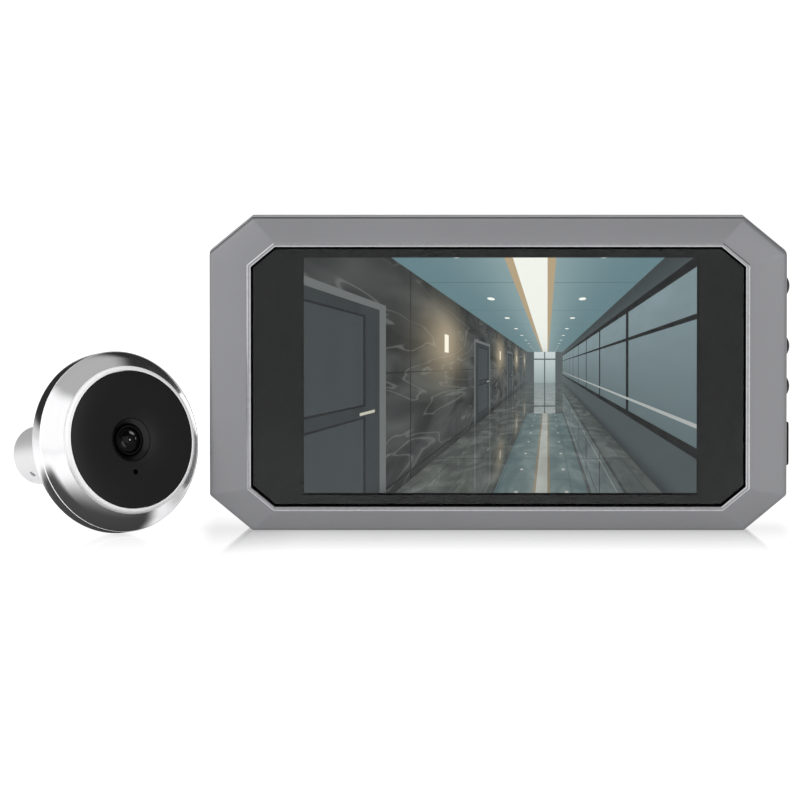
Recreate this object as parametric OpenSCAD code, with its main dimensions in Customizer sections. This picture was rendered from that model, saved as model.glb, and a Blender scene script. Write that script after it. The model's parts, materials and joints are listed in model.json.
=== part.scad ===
// Peephole door camera: an indoor monitor with a screen, and a round outdoor camera on a door barrel.
// Millimetres, +Z up. The screen faces -Y, and the origin is the middle of the monitor's underside.

/* [Monitor case] */
// Width of the monitor case
case_w = 137.5; // [134:0.5:150]
// Height of the monitor case
case_h = 74.5; // [72:0.5:84]
// Depth of the monitor case, from the lip round the window to the back
case_d = 18; // [17.5:0.1:22]
// Corner cut of the case, along its width
corner_w = 10.2; // [8:0.1:12]
// Corner cut of the case, along its height
corner_h = 8.4; // [6.5:0.1:10]
// Thickness of the case walls
wall = 2; // [1.8:0.05:2.4]
// Depth that the sloping facets fall, from the lip to the rim
facet_drop = 2.2; // [1.6:0.1:2.6]
// Depth of the bezel's straight rim
rim_d = 4; // [3.4:0.1:4.6]
// Width of the open seam between bezel and rear housing
seam_w = 0.5; // [0.3:0.05:0.8]
// Depth that the housing's tongue reaches into the bezel
tongue_d = 1.5; // [1:0.1:1.8]

/* [Window] */
// Width of the front window
window_w = 117; // [113:0.1:120]
// Height of the front window
window_h = 61.2; // [60:0.1:63]
// Corner cut of the window, along its width
window_corner = 5.5; // [3:0.1:8]
// Thickness of the window sheet
window_t = 1.2; // [0.8:0.1:1.6]
// Height of the window's centre below the case's centre
window_drop = 0.45; // [0:0.05:0.8]
// Depth of the window's face below the lip
window_recess = 0.25; // [0.1:0.05:0.5]
// Gap round the window
window_gap = 0.35; // [0.2:0.05:0.5]
// Width of the lip round the window
lip_w = 1.1; // [0.8:0.1:1.4]
// Height of the lip above the facets
lip_proud = 0.3; // [0.2:0.05:0.5]
// Thickness of the black border layer behind the window
mask_t = 0.2; // [0.1:0.05:0.3]
// Thickness of the ledge that carries the window
ledge_t = 1.2; // [1:0.1:1.4]

/* [Screen] */
// Width of the lit area
screen_w = 93.6; // [90:0.1:96]
// Height of the lit area
screen_h = 56.2; // [54:0.1:56.6]
// Sideways shift of the lit area from the middle of the window
screen_shift = 0.5; // [-1:0.1:1]
// Upward shift of the lit area from the middle of the window
screen_lift = 0.2; // [0:0.05:0.3]
// Black border that shows nothing, left and right of the lit area
module_side = 5.2; // [4:0.1:5.6]
// Border above and below the lit area
module_edge = 2.4; // [2:0.1:2.8]
// Thickness of the liquid crystal glass
lcd_t = 1.2; // [1:0.05:1.4]
// Thickness of the backlight tray
tray_t = 1.4; // [1.2:0.05:1.6]
// Thickness of the foam frame in front of the glass
lcd_gasket_t = 0.4; // [0.3:0.05:0.6]
// Thickness of the foam cushions behind the tray
cushion_t = 0.45; // [0.3:0.05:0.6]
// Width of the flat cable from the screen
flex_w = 20; // [14:1:22]

/* [Main board] */
// Thickness of the circuit board
board_t = 1.2; // [1:0.1:1.6]
// Distance from the case's top and underside to the board
board_margin = 12; // [11.5:0.1:12.5]
// Height of the side switches' plungers above the board
switch_axis = 3.4; // [3.2:0.05:4]
// Place of the charging socket along the underside
charge_x = 9; // [8:0.5:12]
// Place of the memory card slot along the underside
card_x = -10; // [-13:0.5:-9]

/* [Keys] */
// Diameter of the round keys
key_d = 4.8; // [4.2:0.1:5]
// Height of the round keys' crowns above the case side
key_proud = 0.9; // [0.4:0.05:1]
// Travel of every key
key_travel = 0.5; // [0.3:0.05:0.6]
// Height of the line that the keys are measured from, above the middle of the case
key_line_rise = 37.25; // [36.5:0.05:38]
// Distance of the menu key below that line
menu_drop = 16.6; // [16.2:0.1:17.4]
// Distance of the up key below that line
up_drop = 31; // [29.5:0.1:31.5]
// Distance of the down key below that line
down_drop = 40.6; // [40:0.1:41.5]
// Distance of the view key below that line
view_drop = 54.4; // [54:0.1:55]
// Length of the view key
view_len = 10.6; // [8:0.1:11]
// Width of the view key
view_w = 3.2; // [2.6:0.1:3.6]
// Height of the view key's crown above the case side
view_proud = 0.75; // [0.4:0.05:0.9]
// Length of the keys' stems
stem_len = 2.2; // [1.6:0.1:2.4]

/* [Battery] */
// Width of the battery pack
battery_w = 34; // [30:0.1:35]
// Height of the battery pack
battery_h = 48; // [40:0.1:48.5]
// Thickness of the battery pack
battery_t = 5; // [4:0.1:5.5]
// Thickness of the battery cover's plate
cover_t = 1.2; // [1:0.05:1.4]
// Thickness of the step inside the battery cover
cover_step = 1; // [0.8:0.05:1.2]
// Width of the ledge that the battery cover rests on
cover_ledge = 2; // [1.6:0.1:2.2]

/* [Back] */
// Width of the recess for the door bracket
recess_w = 40; // [36:0.5:41]
// Height of the recess for the door bracket
recess_h = 44; // [40:0.5:46]
// Depth of the recess for the door bracket
recess_d = 1.2; // [0.8:0.1:1.6]
// Thickness of the wall that the bracket's hooks reach through
hook_wall = 1.6; // [1.4:0.1:2]
// Length of the hook slots
slot_len = 10; // [8:0.5:10]
// Width of the hook slots
slot_w = 2.6; // [2.2:0.1:3]
// Distance between the hook slots, sideways
slot_pitch_w = 28; // [26:0.5:28]
// Distance between the hook slots, upwards
slot_pitch_h = 30; // [26:0.5:32]
// Width of the opening for the camera's flat cable
ribbon_w = 16; // [14:0.5:16]
// Height of the opening for the camera's flat cable
ribbon_h = 10; // [9:0.5:12]
// Diameter of the loudspeaker
speaker_d = 23; // [20:0.5:24]
// Depth of the loudspeaker
speaker_t = 4.4; // [4:0.1:5]
// Diameter of the holes in front of the loudspeaker
grille_d = 1.5; // [1.2:0.1:1.7]
// Distance between the holes in front of the loudspeaker
grille_pitch = 2.7; // [2.4:0.1:2.9]

/* [Camera head] */
// Diameter of the camera's flange
flange_d = 43.2; // [42:0.1:48]
// Thickness of the flange's band
flange_t = 3.9; // [3:0.1:4.6]
// Height of the camera head in front of the door
head_h = 10; // [9.4:0.1:11]
// Diameter of the black face
face_d = 32.7; // [31:0.1:33.4]
// Gap round the black face
face_gap = 0.15; // [0.1:0.05:0.4]
// Width of the rounded ring round the black face
ring_w = 1.2; // [0.8:0.05:1.4]
// Height of the rounded ring above the cone
ring_h = 1.4; // [1.2:0.1:2.4]
// Thickness of the black face
face_t = 1.5; // [1.2:0.05:1.6]
// Depth of the black face below the ring
face_recess = 0.25; // [0.1:0.05:0.4]
// Thickness of the head's rear wall
rear_t = 2; // [1.8:0.05:2.2]
// Thickness of the sticky ring behind the face
tape_t = 0.2; // [0.1:0.05:0.3]

/* [Lens] */
// Diameter of the well round the lens
well_d = 10.3; // [10:0.1:11]
// Diameter of the front lens
lens_d = 5.9; // [5.4:0.05:6]
// Height of the front lens's dome
lens_dome = 0.8; // [0.5:0.05:0.9]
// Diameter of the microphone's pinhole in the face
pinhole_d = 1.3; // [0.8:0.1:1.6]
// Distance of the pinhole below the lens
pinhole_drop = 7.7; // [7.6:0.1:8.6]
// Sideways place of the pinhole
pinhole_side = 0.5; // [-1:0.1:1]

/* [Door barrel] */
// Outer diameter of the barrel that passes through the door
barrel_d = 14; // [13:0.1:15]
// Bore of the barrel
barrel_bore = 11; // [10:0.1:11.4]
// Length of the barrel behind the flange
barrel_len = 36.3; // [30:0.1:60]
// Thickness of the foam ring between flange and door
door_gasket_t = 1; // [0.5:0.1:2]
// Diameter of the cross hole in the barrel
cross_hole_d = 1.6; // [1:0.1:2]
// Distance of the cross hole from the barrel's end
cross_hole_from_end = 5.8; // [4:0.1:10]

/* [Standing place of the camera] */
// Gap between the camera's flange and the monitor's side
camera_gap = 2.8; // [1:0.1:20]
// Distance of the camera's flange in front of the monitor's middle
camera_forward = 11.6; // [8:0.1:30]
// Turn of the camera towards the monitor
camera_yaw = 31; // [20:0.1:40]
// Upward tilt of the camera's face
camera_tilt = 8.7; // [0:0.1:12]

/* [Fits] */
// Gap round a piece that slides in its opening
slide_fit = 0.1; // [0.05:0.01:0.15]
// Gap round a piece that lies in a pocket
pocket_fit = 0.3; // [0.2:0.05:0.4]
// Gap round a screw or a plug in its hole
screw_fit = 0.08; // [0.05:0.01:0.1]
// Gap left in front of a switch plunger when its key is fully pressed
rest_fit = 0.05; // [0.03:0.01:0.1]

/* [Hidden] */
$fn = 64;
skin = 0.01;
past = 1;

// Layers of the monitor, front to back along Y
y_front = -case_d / 2;
y_back = case_d / 2;
y_facet = y_front + lip_proud;
y_rim = y_front + facet_drop;
y_bezel_back = y_rim + rim_d;
y_seam = y_bezel_back + seam_w;
y_tongue = y_bezel_back - tongue_d;
y_window = y_front + window_recess;
y_mask = y_window + window_t;
y_ledge = y_mask + mask_t;
y_lcd_gasket = y_ledge + ledge_t;
y_lcd = y_lcd_gasket + lcd_gasket_t;
y_tray = y_lcd + lcd_t;
y_cushion = y_tray + tray_t;
y_board = y_cushion + cushion_t;
y_parts = y_board + board_t;
y_inside = y_back - wall;

// Outlines in the plane of the screen
window_z = case_h / 2 - window_drop;
screen_z = window_z + screen_lift;
module_w = screen_w + 2 * module_side;
module_h = screen_h + 2 * module_edge;
mask_reveal = 0.3;
ledge_reveal = 0.6;
lip_land = 0.1;
lip_wall = lip_proud / 3;
lip_edge = lip_proud - lip_wall;
rib_t = 1;
rib_d = 2.4;
lap_t = wall / 2 - slide_fit;
window_corner_h = window_corner * corner_h / corner_w;
pocket_side = abs(screen_shift) + module_w / 2 + pocket_fit + rib_t;

// Battery bay and its cover, in the plane of the back
pad_margin = 2;
box_wall = 1.2;
box_gap = 1;
battery_fit = 0.5;
well_w = battery_w + 2 * battery_fit;
well_h = battery_h + 2 * battery_fit;
well_right = -(recess_w / 2 + pad_margin + box_gap + box_wall);
battery_x = well_right - well_w / 2;
battery_z = case_h / 2;
cover_w = well_w + 2 * cover_ledge;
cover_h = well_h + 2 * cover_ledge;

// Screws that hold the rear housing to the bezel, clear of the screen, the corners and the battery cover
post_r = 2.5;
post_from_side = 11.25;
post_from_edge = 7;
post_x = max(case_w / 2 - post_from_side, pocket_side + post_r + pocket_fit);
post_corner = ((wall + post_r) * norm([corner_w, corner_h])
    + (post_x - case_w / 2 + corner_w) * corner_h) / corner_w;
case_screw_r = 1;
case_head_r = 2;
case_head_t = 1.4;
case_head_sunk = 0.6;
case_screw_bite = 2.6;
case_slot = [2.6, 0.5];
post_in = min(max(post_from_edge, post_corner),
    battery_z - cover_h / 2 - slide_fit - case_head_r - 2 * pocket_fit);
post_places = [for (x = [-post_x, post_x], z = [post_in, case_h - post_in]) [x, z]];

// Screws that hold the board to the bezel
board_screw_r = 0.8;
board_head_r = 1.7;
board_head_t = 0.9;
board_boss_r = 1.9;
board_screw_bite = 2.4;
board_boss_merge = 0.4;
board_slot = [2, 0.4];
board_edge = 0.5;
board_screw_off = module_w / 2 + pocket_fit + rib_t + board_boss_r - board_boss_merge;
// Heights of the board screws above the middle of the case
left_screw_rise = [17.75, -17.25];
right_screw_rise = [13.45, -10.35];
board_places = concat(
    [for (rise = left_screw_rise) [screen_shift - board_screw_off, case_h / 2 + rise]],
    [for (rise = right_screw_rise) [screen_shift + board_screw_off, case_h / 2 + rise]]);

// Keys and their switches, from the case side inwards
key_y = y_parts + switch_axis;
x_side = case_w / 2;
x_side_in = x_side - wall;
key_flange_t = 0.8;
key_flange_lap = 0.9;
stem_r = 1.4;
x_flange = x_side_in - slide_fit;
x_stem_end = x_flange - key_flange_t - stem_len;
x_plunger = x_stem_end - key_travel - rest_fit;
plunger_len = 1.5;
plunger_r = 1.2;
switch_d = 3.5;
switch_w = 6;
switch_over = 2.4;
x_switch = x_plunger - plunger_len;
key_countersink = 0.35;
key_line = case_h / 2 + key_line_rise;
menu_z = key_line - menu_drop;
up_z = key_line - up_drop;
down_z = key_line - down_drop;
view_z = key_line - view_drop;

// Board outline, and the flat cable that folds round its left edge into a socket
board_left = min(-post_x, screen_shift - board_screw_off - board_head_r - board_edge);
board_right = max(x_switch, screen_shift + board_screw_off + board_head_r + board_edge);
board_bottom = board_margin;
board_top = case_h - board_margin;
tab_clear = 1;
tab_side = 2;
tab_bottom = wall + tab_clear;
flex_t = 0.2;
flex_fold = 0.4;
flex_ease = 1;
flex_x = screen_shift - module_w / 2 - pocket_fit - rib_t - flex_fold;
lcd_socket_in = 2.1;
lcd_socket_w = 4.2;
lcd_socket_t = 1.2;
lcd_socket_side = 1;
notch_in = 0.6;
notch_side = 1.5;
lcd_socket_x = screen_shift - module_w / 2 + lcd_socket_in;
// Each chip is [x, height above the middle of the case, width, height, thickness].
chips = [[34, 0.25, 12, 12, 1.2], [22, -14.75, 8, 6, 1], [44, -16.75, 5, 5, 0.9], [30, 19.25, 7, 9, 1.1],
    [6, -17.75, 4, 4, 1.8]];

// Battery box and contacts, front to back
box_floor_t = 0.8;
y_cover = y_back - cover_t;
y_cover_step = y_cover - cover_step;
y_battery_back = y_cover_step - slide_fit;
y_battery = y_battery_back - battery_t;
y_box_floor = y_battery - slide_fit - box_floor_t;
contact_h = 8;
contact_len = 4;
contact_rise = 3;
contact_top = y_battery + contact_rise;

// Bracket recess, loudspeaker and ports
recess_rise = 4;
recess_z = case_h / 2 + recess_rise;
y_recess = y_back - recess_d;
y_hook_wall = y_recess - hook_wall;
slot_places = [for (i = [-1, 1], j = [-1, 1]) [i * slot_pitch_w / 2, recess_z + j * slot_pitch_h / 2]];
speaker_ring_t = 1.2;
speaker_ring_d = 2.6;
speaker_magnet_t = 1.8;
speaker_rim = 1.6;
speaker_rim_t = 1;
speaker_sheet = 0.7;
speaker_throat = 2;
speaker_taper = 5.5;
speaker_cone_t = 0.4;
speaker_x = recess_w / 2 + pad_margin + box_gap + speaker_ring_t + pocket_fit + speaker_d / 2;
speaker_z = case_h / 2;
grille_rings = 3;
charge_w = 8.94;
charge_t = 3.26;
charge_len = 7.3;
charge_y = y_parts + charge_t / 2;
card_w = 14.2;
card_t = 1.6;
card_len = 14;
card_mouth = 11.4;
card_slot_t = 1.1;
port_fit = 0.25;

// Camera head along its own axis: a is the distance in front of the door flange's back
flange_r = flange_d / 2;
face_r = face_d / 2;
face_hole_r = face_r + face_gap;
band_edge = 0.3;
ring_steps = 5;
a_face_front = head_h - face_recess;
a_face = a_face_front - face_t;
a_tape = a_face - tape_t;
tape_w = 1.7;
chamber_r = face_r - tape_w;
boss_h = 0.6;
camera_board_t = 1;
a_camera_board = rear_t + boss_h;
a_camera_parts = a_camera_board + camera_board_t;
camera_board_ease = 1;
camera_board_r = chamber_r - camera_board_ease;
camera_screw_in = 2.3;
camera_screw_ring = camera_board_r - camera_screw_in;
camera_slot = [1.8, 0.35];
camera_screw_r = 0.7;
camera_head_r = 1.5;
camera_head_t = 0.8;
camera_boss_r = 1.9;
camera_screw_bite = 1.4;
led_ring = 9;
led_r = 1.4;
led_h = 1.8;
led_foot = 0.3;
led_foot_t = 0.5;
led_shoulder = 0.6;
led_crown = 0.1;
led_angles = [0, 60, 120, 180];
screw_angles = [90, 210, 330];

// Lens parts along the axis
well_r = well_d / 2;
lens_r = lens_d / 2;
lens_wall = 0.55;
lens_barrel_r = lens_r + screw_fit + lens_wall;
lens_sunk = 0.9;
lens_step = 0.7;
lens_gap = 1.6;
lens_lip = 0.4;
lens_lip_t = 0.3;
a_lens_top = a_face_front - lens_sunk;
lens_seat = 1.1;
lens_edge = 0.5;
a_lens = a_lens_top - lens_seat;
rear_lens_r = lens_r - lens_step;
rear_lens_t = 1;
a_rear_lens = a_lens - lens_gap;
a_lens_bottom = a_rear_lens - lens_lip_t;
hood_lap = 1;
hood_t = 0.8;
hood_edge = 0.3;
hood_sunk = 0.5;
holder_w = 11;
holder_base = 1.1;
holder_wall = 1.1;
holder_gap = 0.2;
a_holder_top = a_face - hood_t - holder_gap;
sensor_w = 6;
sensor_t = 0.8;
mic_r = 2;
mic_t = 1.5;
mic_boot_r = 1.6;

// Door barrel
barrel_r = barrel_d / 2;
bore_r = barrel_bore / 2;
spigot_wall = 0.7;
spigot_r = bore_r + spigot_wall;
spigot_len = rear_t / 2;
barrel_edge = 0.4;
gasket_in = 1.4;
gasket_out = flange_r - gasket_in;
gasket_ease = 3;
cross_hole_angle = 223.5;

// Place of the camera beside the monitor
camera_reach = flange_r * cos(camera_yaw) + flange_t * cos(camera_tilt) * sin(camera_yaw);
camera_x = -(case_w / 2 + camera_gap + camera_reach);
camera_y = -camera_forward;
camera_z = flange_r * cos(camera_tilt) - band_edge * sin(camera_tilt);

// Extrusions: an outline drawn in (x, z), (y, z) or (x, y) is carried along the third axis.
module along_y(from, to) {
    translate([0, to, 0]) rotate([90, 0, 0]) linear_extrude(to - from) children();
}
module along_x(from, to) {
    translate([from, 0, 0]) rotate([90, 0, 90]) linear_extrude(to - from) children();
}
module along_z(from, to) {
    translate([0, 0, from]) linear_extrude(to - from) children();
}
// Camera pieces: outlines drawn in the face's plane, or turned profiles of (radius, axial distance).
module along_axis(from, to) {
    rotate([90, 0, 0]) translate([0, 0, from]) linear_extrude(to - from) children();
}
module turned(profile) {
    rotate([90, 0, 0]) rotate_extrude() polygon(profile);
}
module on_camera() {
    translate([camera_x, camera_y, camera_z]) rotate([-camera_tilt, 0, camera_yaw]) children();
}
module ring(outer, inner) {
    difference() {
        circle(outer);
        circle(inner);
    }
}
module slot(length, width) {
    square([length - width, width], center = true);
    for (side = [-1, 1]) translate([side * (length - width) / 2, 0]) circle(width / 2);
}
module box_at(centre, size) {
    translate(centre) square(size, center = true);
}

// A rectangle with its four corners cut off. An inset keeps the cuts parallel.
function cut_along(w, h, inset) = w + inset * (norm([w, h]) - w - h) / h;
module cut_corners(w, h, cut_w, cut_h) {
    half = [w / 2, h / 2];
    polygon([for (s = [[1, 1], [-1, 1], [-1, -1], [1, -1]], k = s[0] * s[1] > 0 ? [0, 1] : [1, 0])
        [s[0] * (half[0] - (k == 0 ? 0 : cut_w)), s[1] * (half[1] - (k == 0 ? cut_h : 0))]]);
}
module case_outline(inset = 0) {
    translate([0, case_h / 2])
        cut_corners(case_w - 2 * inset, case_h - 2 * inset,
            cut_along(corner_w, corner_h, inset), cut_along(corner_h, corner_w, inset));
}
module window_outline(grow = 0) {
    translate([0, window_z])
        cut_corners(window_w + 2 * grow, window_h + 2 * grow,
            cut_along(window_corner, window_corner_h, -grow),
            cut_along(window_corner_h, window_corner, -grow));
}
module screen_outline(grow = 0) {
    box_at([screen_shift, screen_z], [screen_w + 2 * grow, screen_h + 2 * grow]);
}
module module_outline(grow = 0) {
    box_at([screen_shift, screen_z], [module_w + 2 * grow, module_h + 2 * grow]);
}

// Bezel: sloping facets round the window, a straight rim, and the pocket that holds the screen
module bezel_shell() {
    difference() {
        union() {
            hull() {
                along_y(y_rim, y_bezel_back) case_outline();
                along_y(y_facet, y_rim) window_outline(window_gap + lip_w + lip_land);
            }
            hull() {
                along_y(y_facet - lip_wall, y_ledge) window_outline(window_gap + lip_w);
                along_y(y_front, y_ledge) window_outline(window_gap + lip_w - lip_edge);
            }
        }
        along_y(y_front - past, y_ledge) window_outline(window_gap);
        along_y(y_ledge - past, y_lcd_gasket + past) screen_outline(ledge_reveal);
        along_y(y_lcd_gasket, y_bezel_back + past) case_outline(wall);
        along_y(y_tongue, y_bezel_back + past) case_outline(lap_t);
    }
}
module screen_pocket() {
    along_y(y_lcd_gasket - skin, y_lcd_gasket + rib_d) difference() {
        module_outline(pocket_fit + rib_t);
        module_outline(pocket_fit);
        box_at([screen_shift - module_w / 2, screen_z], [4 * rib_t, flex_w + 2 * flex_ease]);
    }
}
module front_bezel() {
    color("#8f9093") difference() {
        union() {
            bezel_shell();
            screen_pocket();
            along_y(y_lcd_gasket - skin, y_seam) for (p = post_places) translate(p) circle(post_r);
            along_y(y_lcd_gasket - skin, y_board) for (p = board_places) translate(p) circle(board_boss_r);
        }
        along_y(y_seam - case_screw_bite - screw_fit, y_seam + past)
            for (p = post_places) translate(p) circle(case_screw_r + screw_fit);
        along_y(y_board - board_screw_bite - screw_fit, y_board + past)
            for (p = board_places) translate(p) circle(board_screw_r + screw_fit);
    }
}

// Window and screen stack
module front_window() {
    color("#c9d6da", 0.4) along_y(y_window, y_mask) window_outline();
}
module window_mask() {
    color("#1c1b1c") along_y(y_mask, y_ledge) difference() {
        window_outline();
        screen_outline(mask_reveal);
    }
}
module lcd_gasket() {
    color("#202020") along_y(y_lcd_gasket, y_lcd) difference() {
        module_outline();
        screen_outline(ledge_reveal);
    }
}
module lcd_glass() {
    color("#6f8489") along_y(y_lcd, y_tray) module_outline();
}
module backlight_tray() {
    color("#c8c9cc") along_y(y_tray, y_cushion) module_outline();
}
module lcd_cushions() {
    cushion = [14, 8];
    from_edge = [14.5, 13.5];
    color("#2b2b2b") along_y(y_cushion, y_board) for (i = [-1, 1], j = [-1, 1])
        box_at([screen_shift + i * (module_w / 2 - from_edge[0]),
            screen_z + j * (module_h / 2 - from_edge[1])], cushion);
}
module lcd_flex() {
    start = screen_shift - module_w / 2;
    y_out = y_lcd + lcd_t / 2;
    y_in = y_parts + slide_fit;
    color("#b5762a") translate([0, 0, screen_z - flex_w / 2]) along_z(0, flex_w) {
        translate([flex_x, y_out]) square([start - flex_x, flex_t]);
        translate([flex_x, y_out]) square([flex_t, y_in + flex_t - y_out]);
        translate([flex_x, y_in]) square([lcd_socket_x - flex_x, flex_t]);
    }
}
module lcd_socket() {
    color("#e3ddcf") along_y(y_parts, y_parts + lcd_socket_t)
        box_at([lcd_socket_x + lcd_socket_w / 2, screen_z], [lcd_socket_w, flex_w + 2 * lcd_socket_side]);
}

// Main board and what is soldered to it
module main_board() {
    tab = [card_x - card_w / 2 - tab_side, charge_x + charge_w / 2 + tab_side];
    notch = [lcd_socket_x - notch_in - board_left, flex_w + 2 * notch_side];
    color("#2f6b46") difference() {
        along_y(y_board, y_parts) difference() {
            union() {
                translate([board_left, board_bottom])
                    square([board_right - board_left, board_top - board_bottom]);
                translate([tab[0], tab_bottom]) square([tab[1] - tab[0], board_bottom - tab_bottom + skin]);
            }
            translate([board_left - skin, screen_z - notch[1] / 2]) square(notch);
            for (p = post_places) translate(p) circle(post_r + pocket_fit);
        }
        along_y(y_board - past, y_parts + past)
            for (p = board_places) translate(p) circle(board_screw_r + screw_fit);
    }
}
module board_chips() {
    color("#26282b") for (c = chips)
        along_y(y_parts, y_parts + c[4]) box_at([c[0], case_h / 2 + c[1]], [c[2], c[3]]);
}
module key_switches() {
    color("#3a3a3c") for (z = [menu_z, up_z, down_z, view_z]) {
        along_x(x_switch - switch_d, x_switch)
            translate([y_parts, z - switch_w / 2]) square([switch_axis + switch_over, switch_w]);
        along_x(x_switch - skin, x_plunger) translate([key_y, z]) circle(plunger_r);
    }
}
module charging_socket() {
    shell_t = 0.3;
    mouth = 0.8;
    tongue = [6.7, 0.7];
    tongue_in = 0.6;
    color("#c4c6c8") translate([charge_x, charge_y, 0]) {
        difference() {
            along_z(mouth, mouth + charge_len) slot(charge_w, charge_t);
            along_z(mouth - past, mouth + charge_len - past)
                slot(charge_w - 2 * shell_t, charge_t - 2 * shell_t);
        }
        along_z(mouth + tongue_in, mouth + charge_len - past + skin) square(tongue, center = true);
    }
}
module card_socket() {
    behind_wall = 0.2;
    mouth = wall + behind_wall;
    color("#c4c6c8") difference() {
        translate([card_x - card_w / 2, y_parts, mouth]) cube([card_w, card_t, card_len]);
        translate([card_x - card_mouth / 2, y_parts + (card_t - card_slot_t) / 2, mouth - past])
            cube([card_mouth, card_slot_t, card_len]);
    }
}
module ribbon_socket() {
    size = [13, 2.2, 4.4];
    cheek = 1;
    gap = 0.5;
    color("#e3ddcf") difference() {
        translate([-size[0] / 2, y_parts, recess_z - size[2] / 2]) cube(size);
        translate([cheek - size[0] / 2, y_parts + size[1] / 2, recess_z - size[2] / 2 - past])
            cube([size[0] - 2 * cheek, gap, size[2]]);
    }
}
module board_screws() {
    color("#8d9093") for (p = board_places) translate([p[0], 0, p[1]]) {
        along_y(y_board - board_screw_bite, y_parts + skin) circle(board_screw_r);
        along_y(y_parts, y_parts + board_head_t) difference() {
            circle(board_head_r);
            for (turn = [0, 90]) rotate(turn) square(board_slot, center = true);
        }
    }
}

// Keys: a crown outside the case, a flange that keeps the key in, and a stem to the switch
module round_key(z) {
    r = key_d / 2;
    crown_r = (r * r + key_proud * key_proud) / (2 * key_proud);
    crown_half = asin(r / crown_r);
    crown_steps = 8;
    crown = [for (i = [0 : crown_steps]) let (t = crown_half * (1 - i / crown_steps))
        [crown_r * sin(t), x_side + key_proud - crown_r * (1 - cos(t))]];
    body = [[0, x_stem_end], [stem_r, x_stem_end], [stem_r, x_flange - key_flange_t],
        [r + key_flange_lap, x_flange - key_flange_t], [r + key_flange_lap, x_flange], [r, x_flange]];
    color("#141414") translate([0, key_y, z]) rotate([0, 90, 0])
        rotate_extrude() polygon(concat(body, crown));
}
module menu_key() { round_key(menu_z); }
module up_key() { round_key(up_z); }
module down_key() { round_key(down_z); }
module view_key() {
    round_over = 0.35;
    color("#141414") translate([0, key_y, view_z]) {
        along_x(x_flange - key_flange_t, x_side + view_proud - round_over)
            rotate(90) slot(view_len, view_w);
        hull() {
            along_x(x_side, x_side + view_proud - round_over) rotate(90) slot(view_len, view_w);
            along_x(x_side, x_side + view_proud)
                rotate(90) slot(view_len - 2 * round_over, view_w - 2 * round_over);
        }
        along_x(x_flange - key_flange_t, x_flange)
            rotate(90) slot(view_len + 2 * key_flange_lap, view_w + 2 * key_flange_lap);
        along_x(x_stem_end, x_flange) circle(stem_r);
    }
}

// Battery pack, its contacts and its cover
module battery_contacts() {
    blade_w = 1.2;
    blade_pitch = 2.5;
    blade_in = 1;
    block_x = well_right + slide_fit;
    color("#d9b24a") {
        along_y(y_parts, contact_top)
            box_at([block_x + contact_len / 2, battery_z], [contact_len, contact_h]);
        along_y(y_battery + blade_in, contact_top) for (i = [-1, 0, 1])
            translate([well_right - battery_fit + slide_fit, battery_z + i * blade_pitch - blade_w / 2])
                square([battery_fit + skin, blade_w]);
    }
}
module battery() {
    color("#3b5f9a") along_y(y_battery, y_battery_back)
        box_at([battery_x, battery_z], [battery_w, battery_h]);
}
module battery_cover() {
    thumb_r = 7;
    thumb_d = 0.5;
    thumb_edge = 1;
    grip_count = 4;
    grip_edge = 6;
    grip_pitch = 2;
    grip = [16, 0.8];
    color("#88898c") difference() {
        union() {
            along_y(y_cover, y_back) box_at([battery_x, battery_z], [cover_w, cover_h]);
            along_y(y_cover_step, y_cover + skin)
                box_at([battery_x, battery_z], [well_w - 2 * slide_fit, well_h - 2 * slide_fit]);
        }
        along_y(y_back - thumb_d, y_back + past)
            translate([battery_x, battery_z + cover_h / 2 - thumb_r - thumb_edge]) circle(thumb_r);
        along_y(y_back - thumb_d, y_back + past) for (i = [0 : grip_count - 1])
            box_at([battery_x, battery_z - cover_h / 2 + grip_edge + grip_pitch * i], grip);
    }
}

// Loudspeaker, facing the grille in the back
module speaker_turned(profile) {
    translate([speaker_x, y_inside, speaker_z]) turned(profile);
}
module speaker_frame() {
    r = speaker_d / 2;
    back = speaker_t - speaker_magnet_t;
    color("#4a4b4d") speaker_turned([[speaker_throat, back - speaker_sheet],
        [r - speaker_taper, back - speaker_sheet], [r - speaker_rim, speaker_rim_t], [r - speaker_rim, 0],
        [r, 0], [r, speaker_rim_t], [r - speaker_taper + speaker_sheet, back], [speaker_throat, back]]);
}
module speaker_magnet() {
    r = speaker_d / 2 - speaker_taper;
    front = speaker_t - speaker_magnet_t;
    color("#2c2d2f") speaker_turned([[0, front], [r, front], [r, speaker_t], [0, speaker_t]]);
}
module speaker_cone() {
    r = speaker_d / 2 - speaker_rim - slide_fit;
    dish = r - speaker_taper;
    front = speaker_cone_t;
    color("#151515") speaker_turned([[0, front + speaker_cone_t / 2], [dish, 2 * front],
        [dish, front + speaker_sheet], [r - speaker_rim_t, front], [r, front], [r, 2 * front],
        [r - speaker_rim_t, 2 * front], [dish, 2 * front + speaker_sheet], [0, 2 * front + speaker_sheet]]);
}

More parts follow.
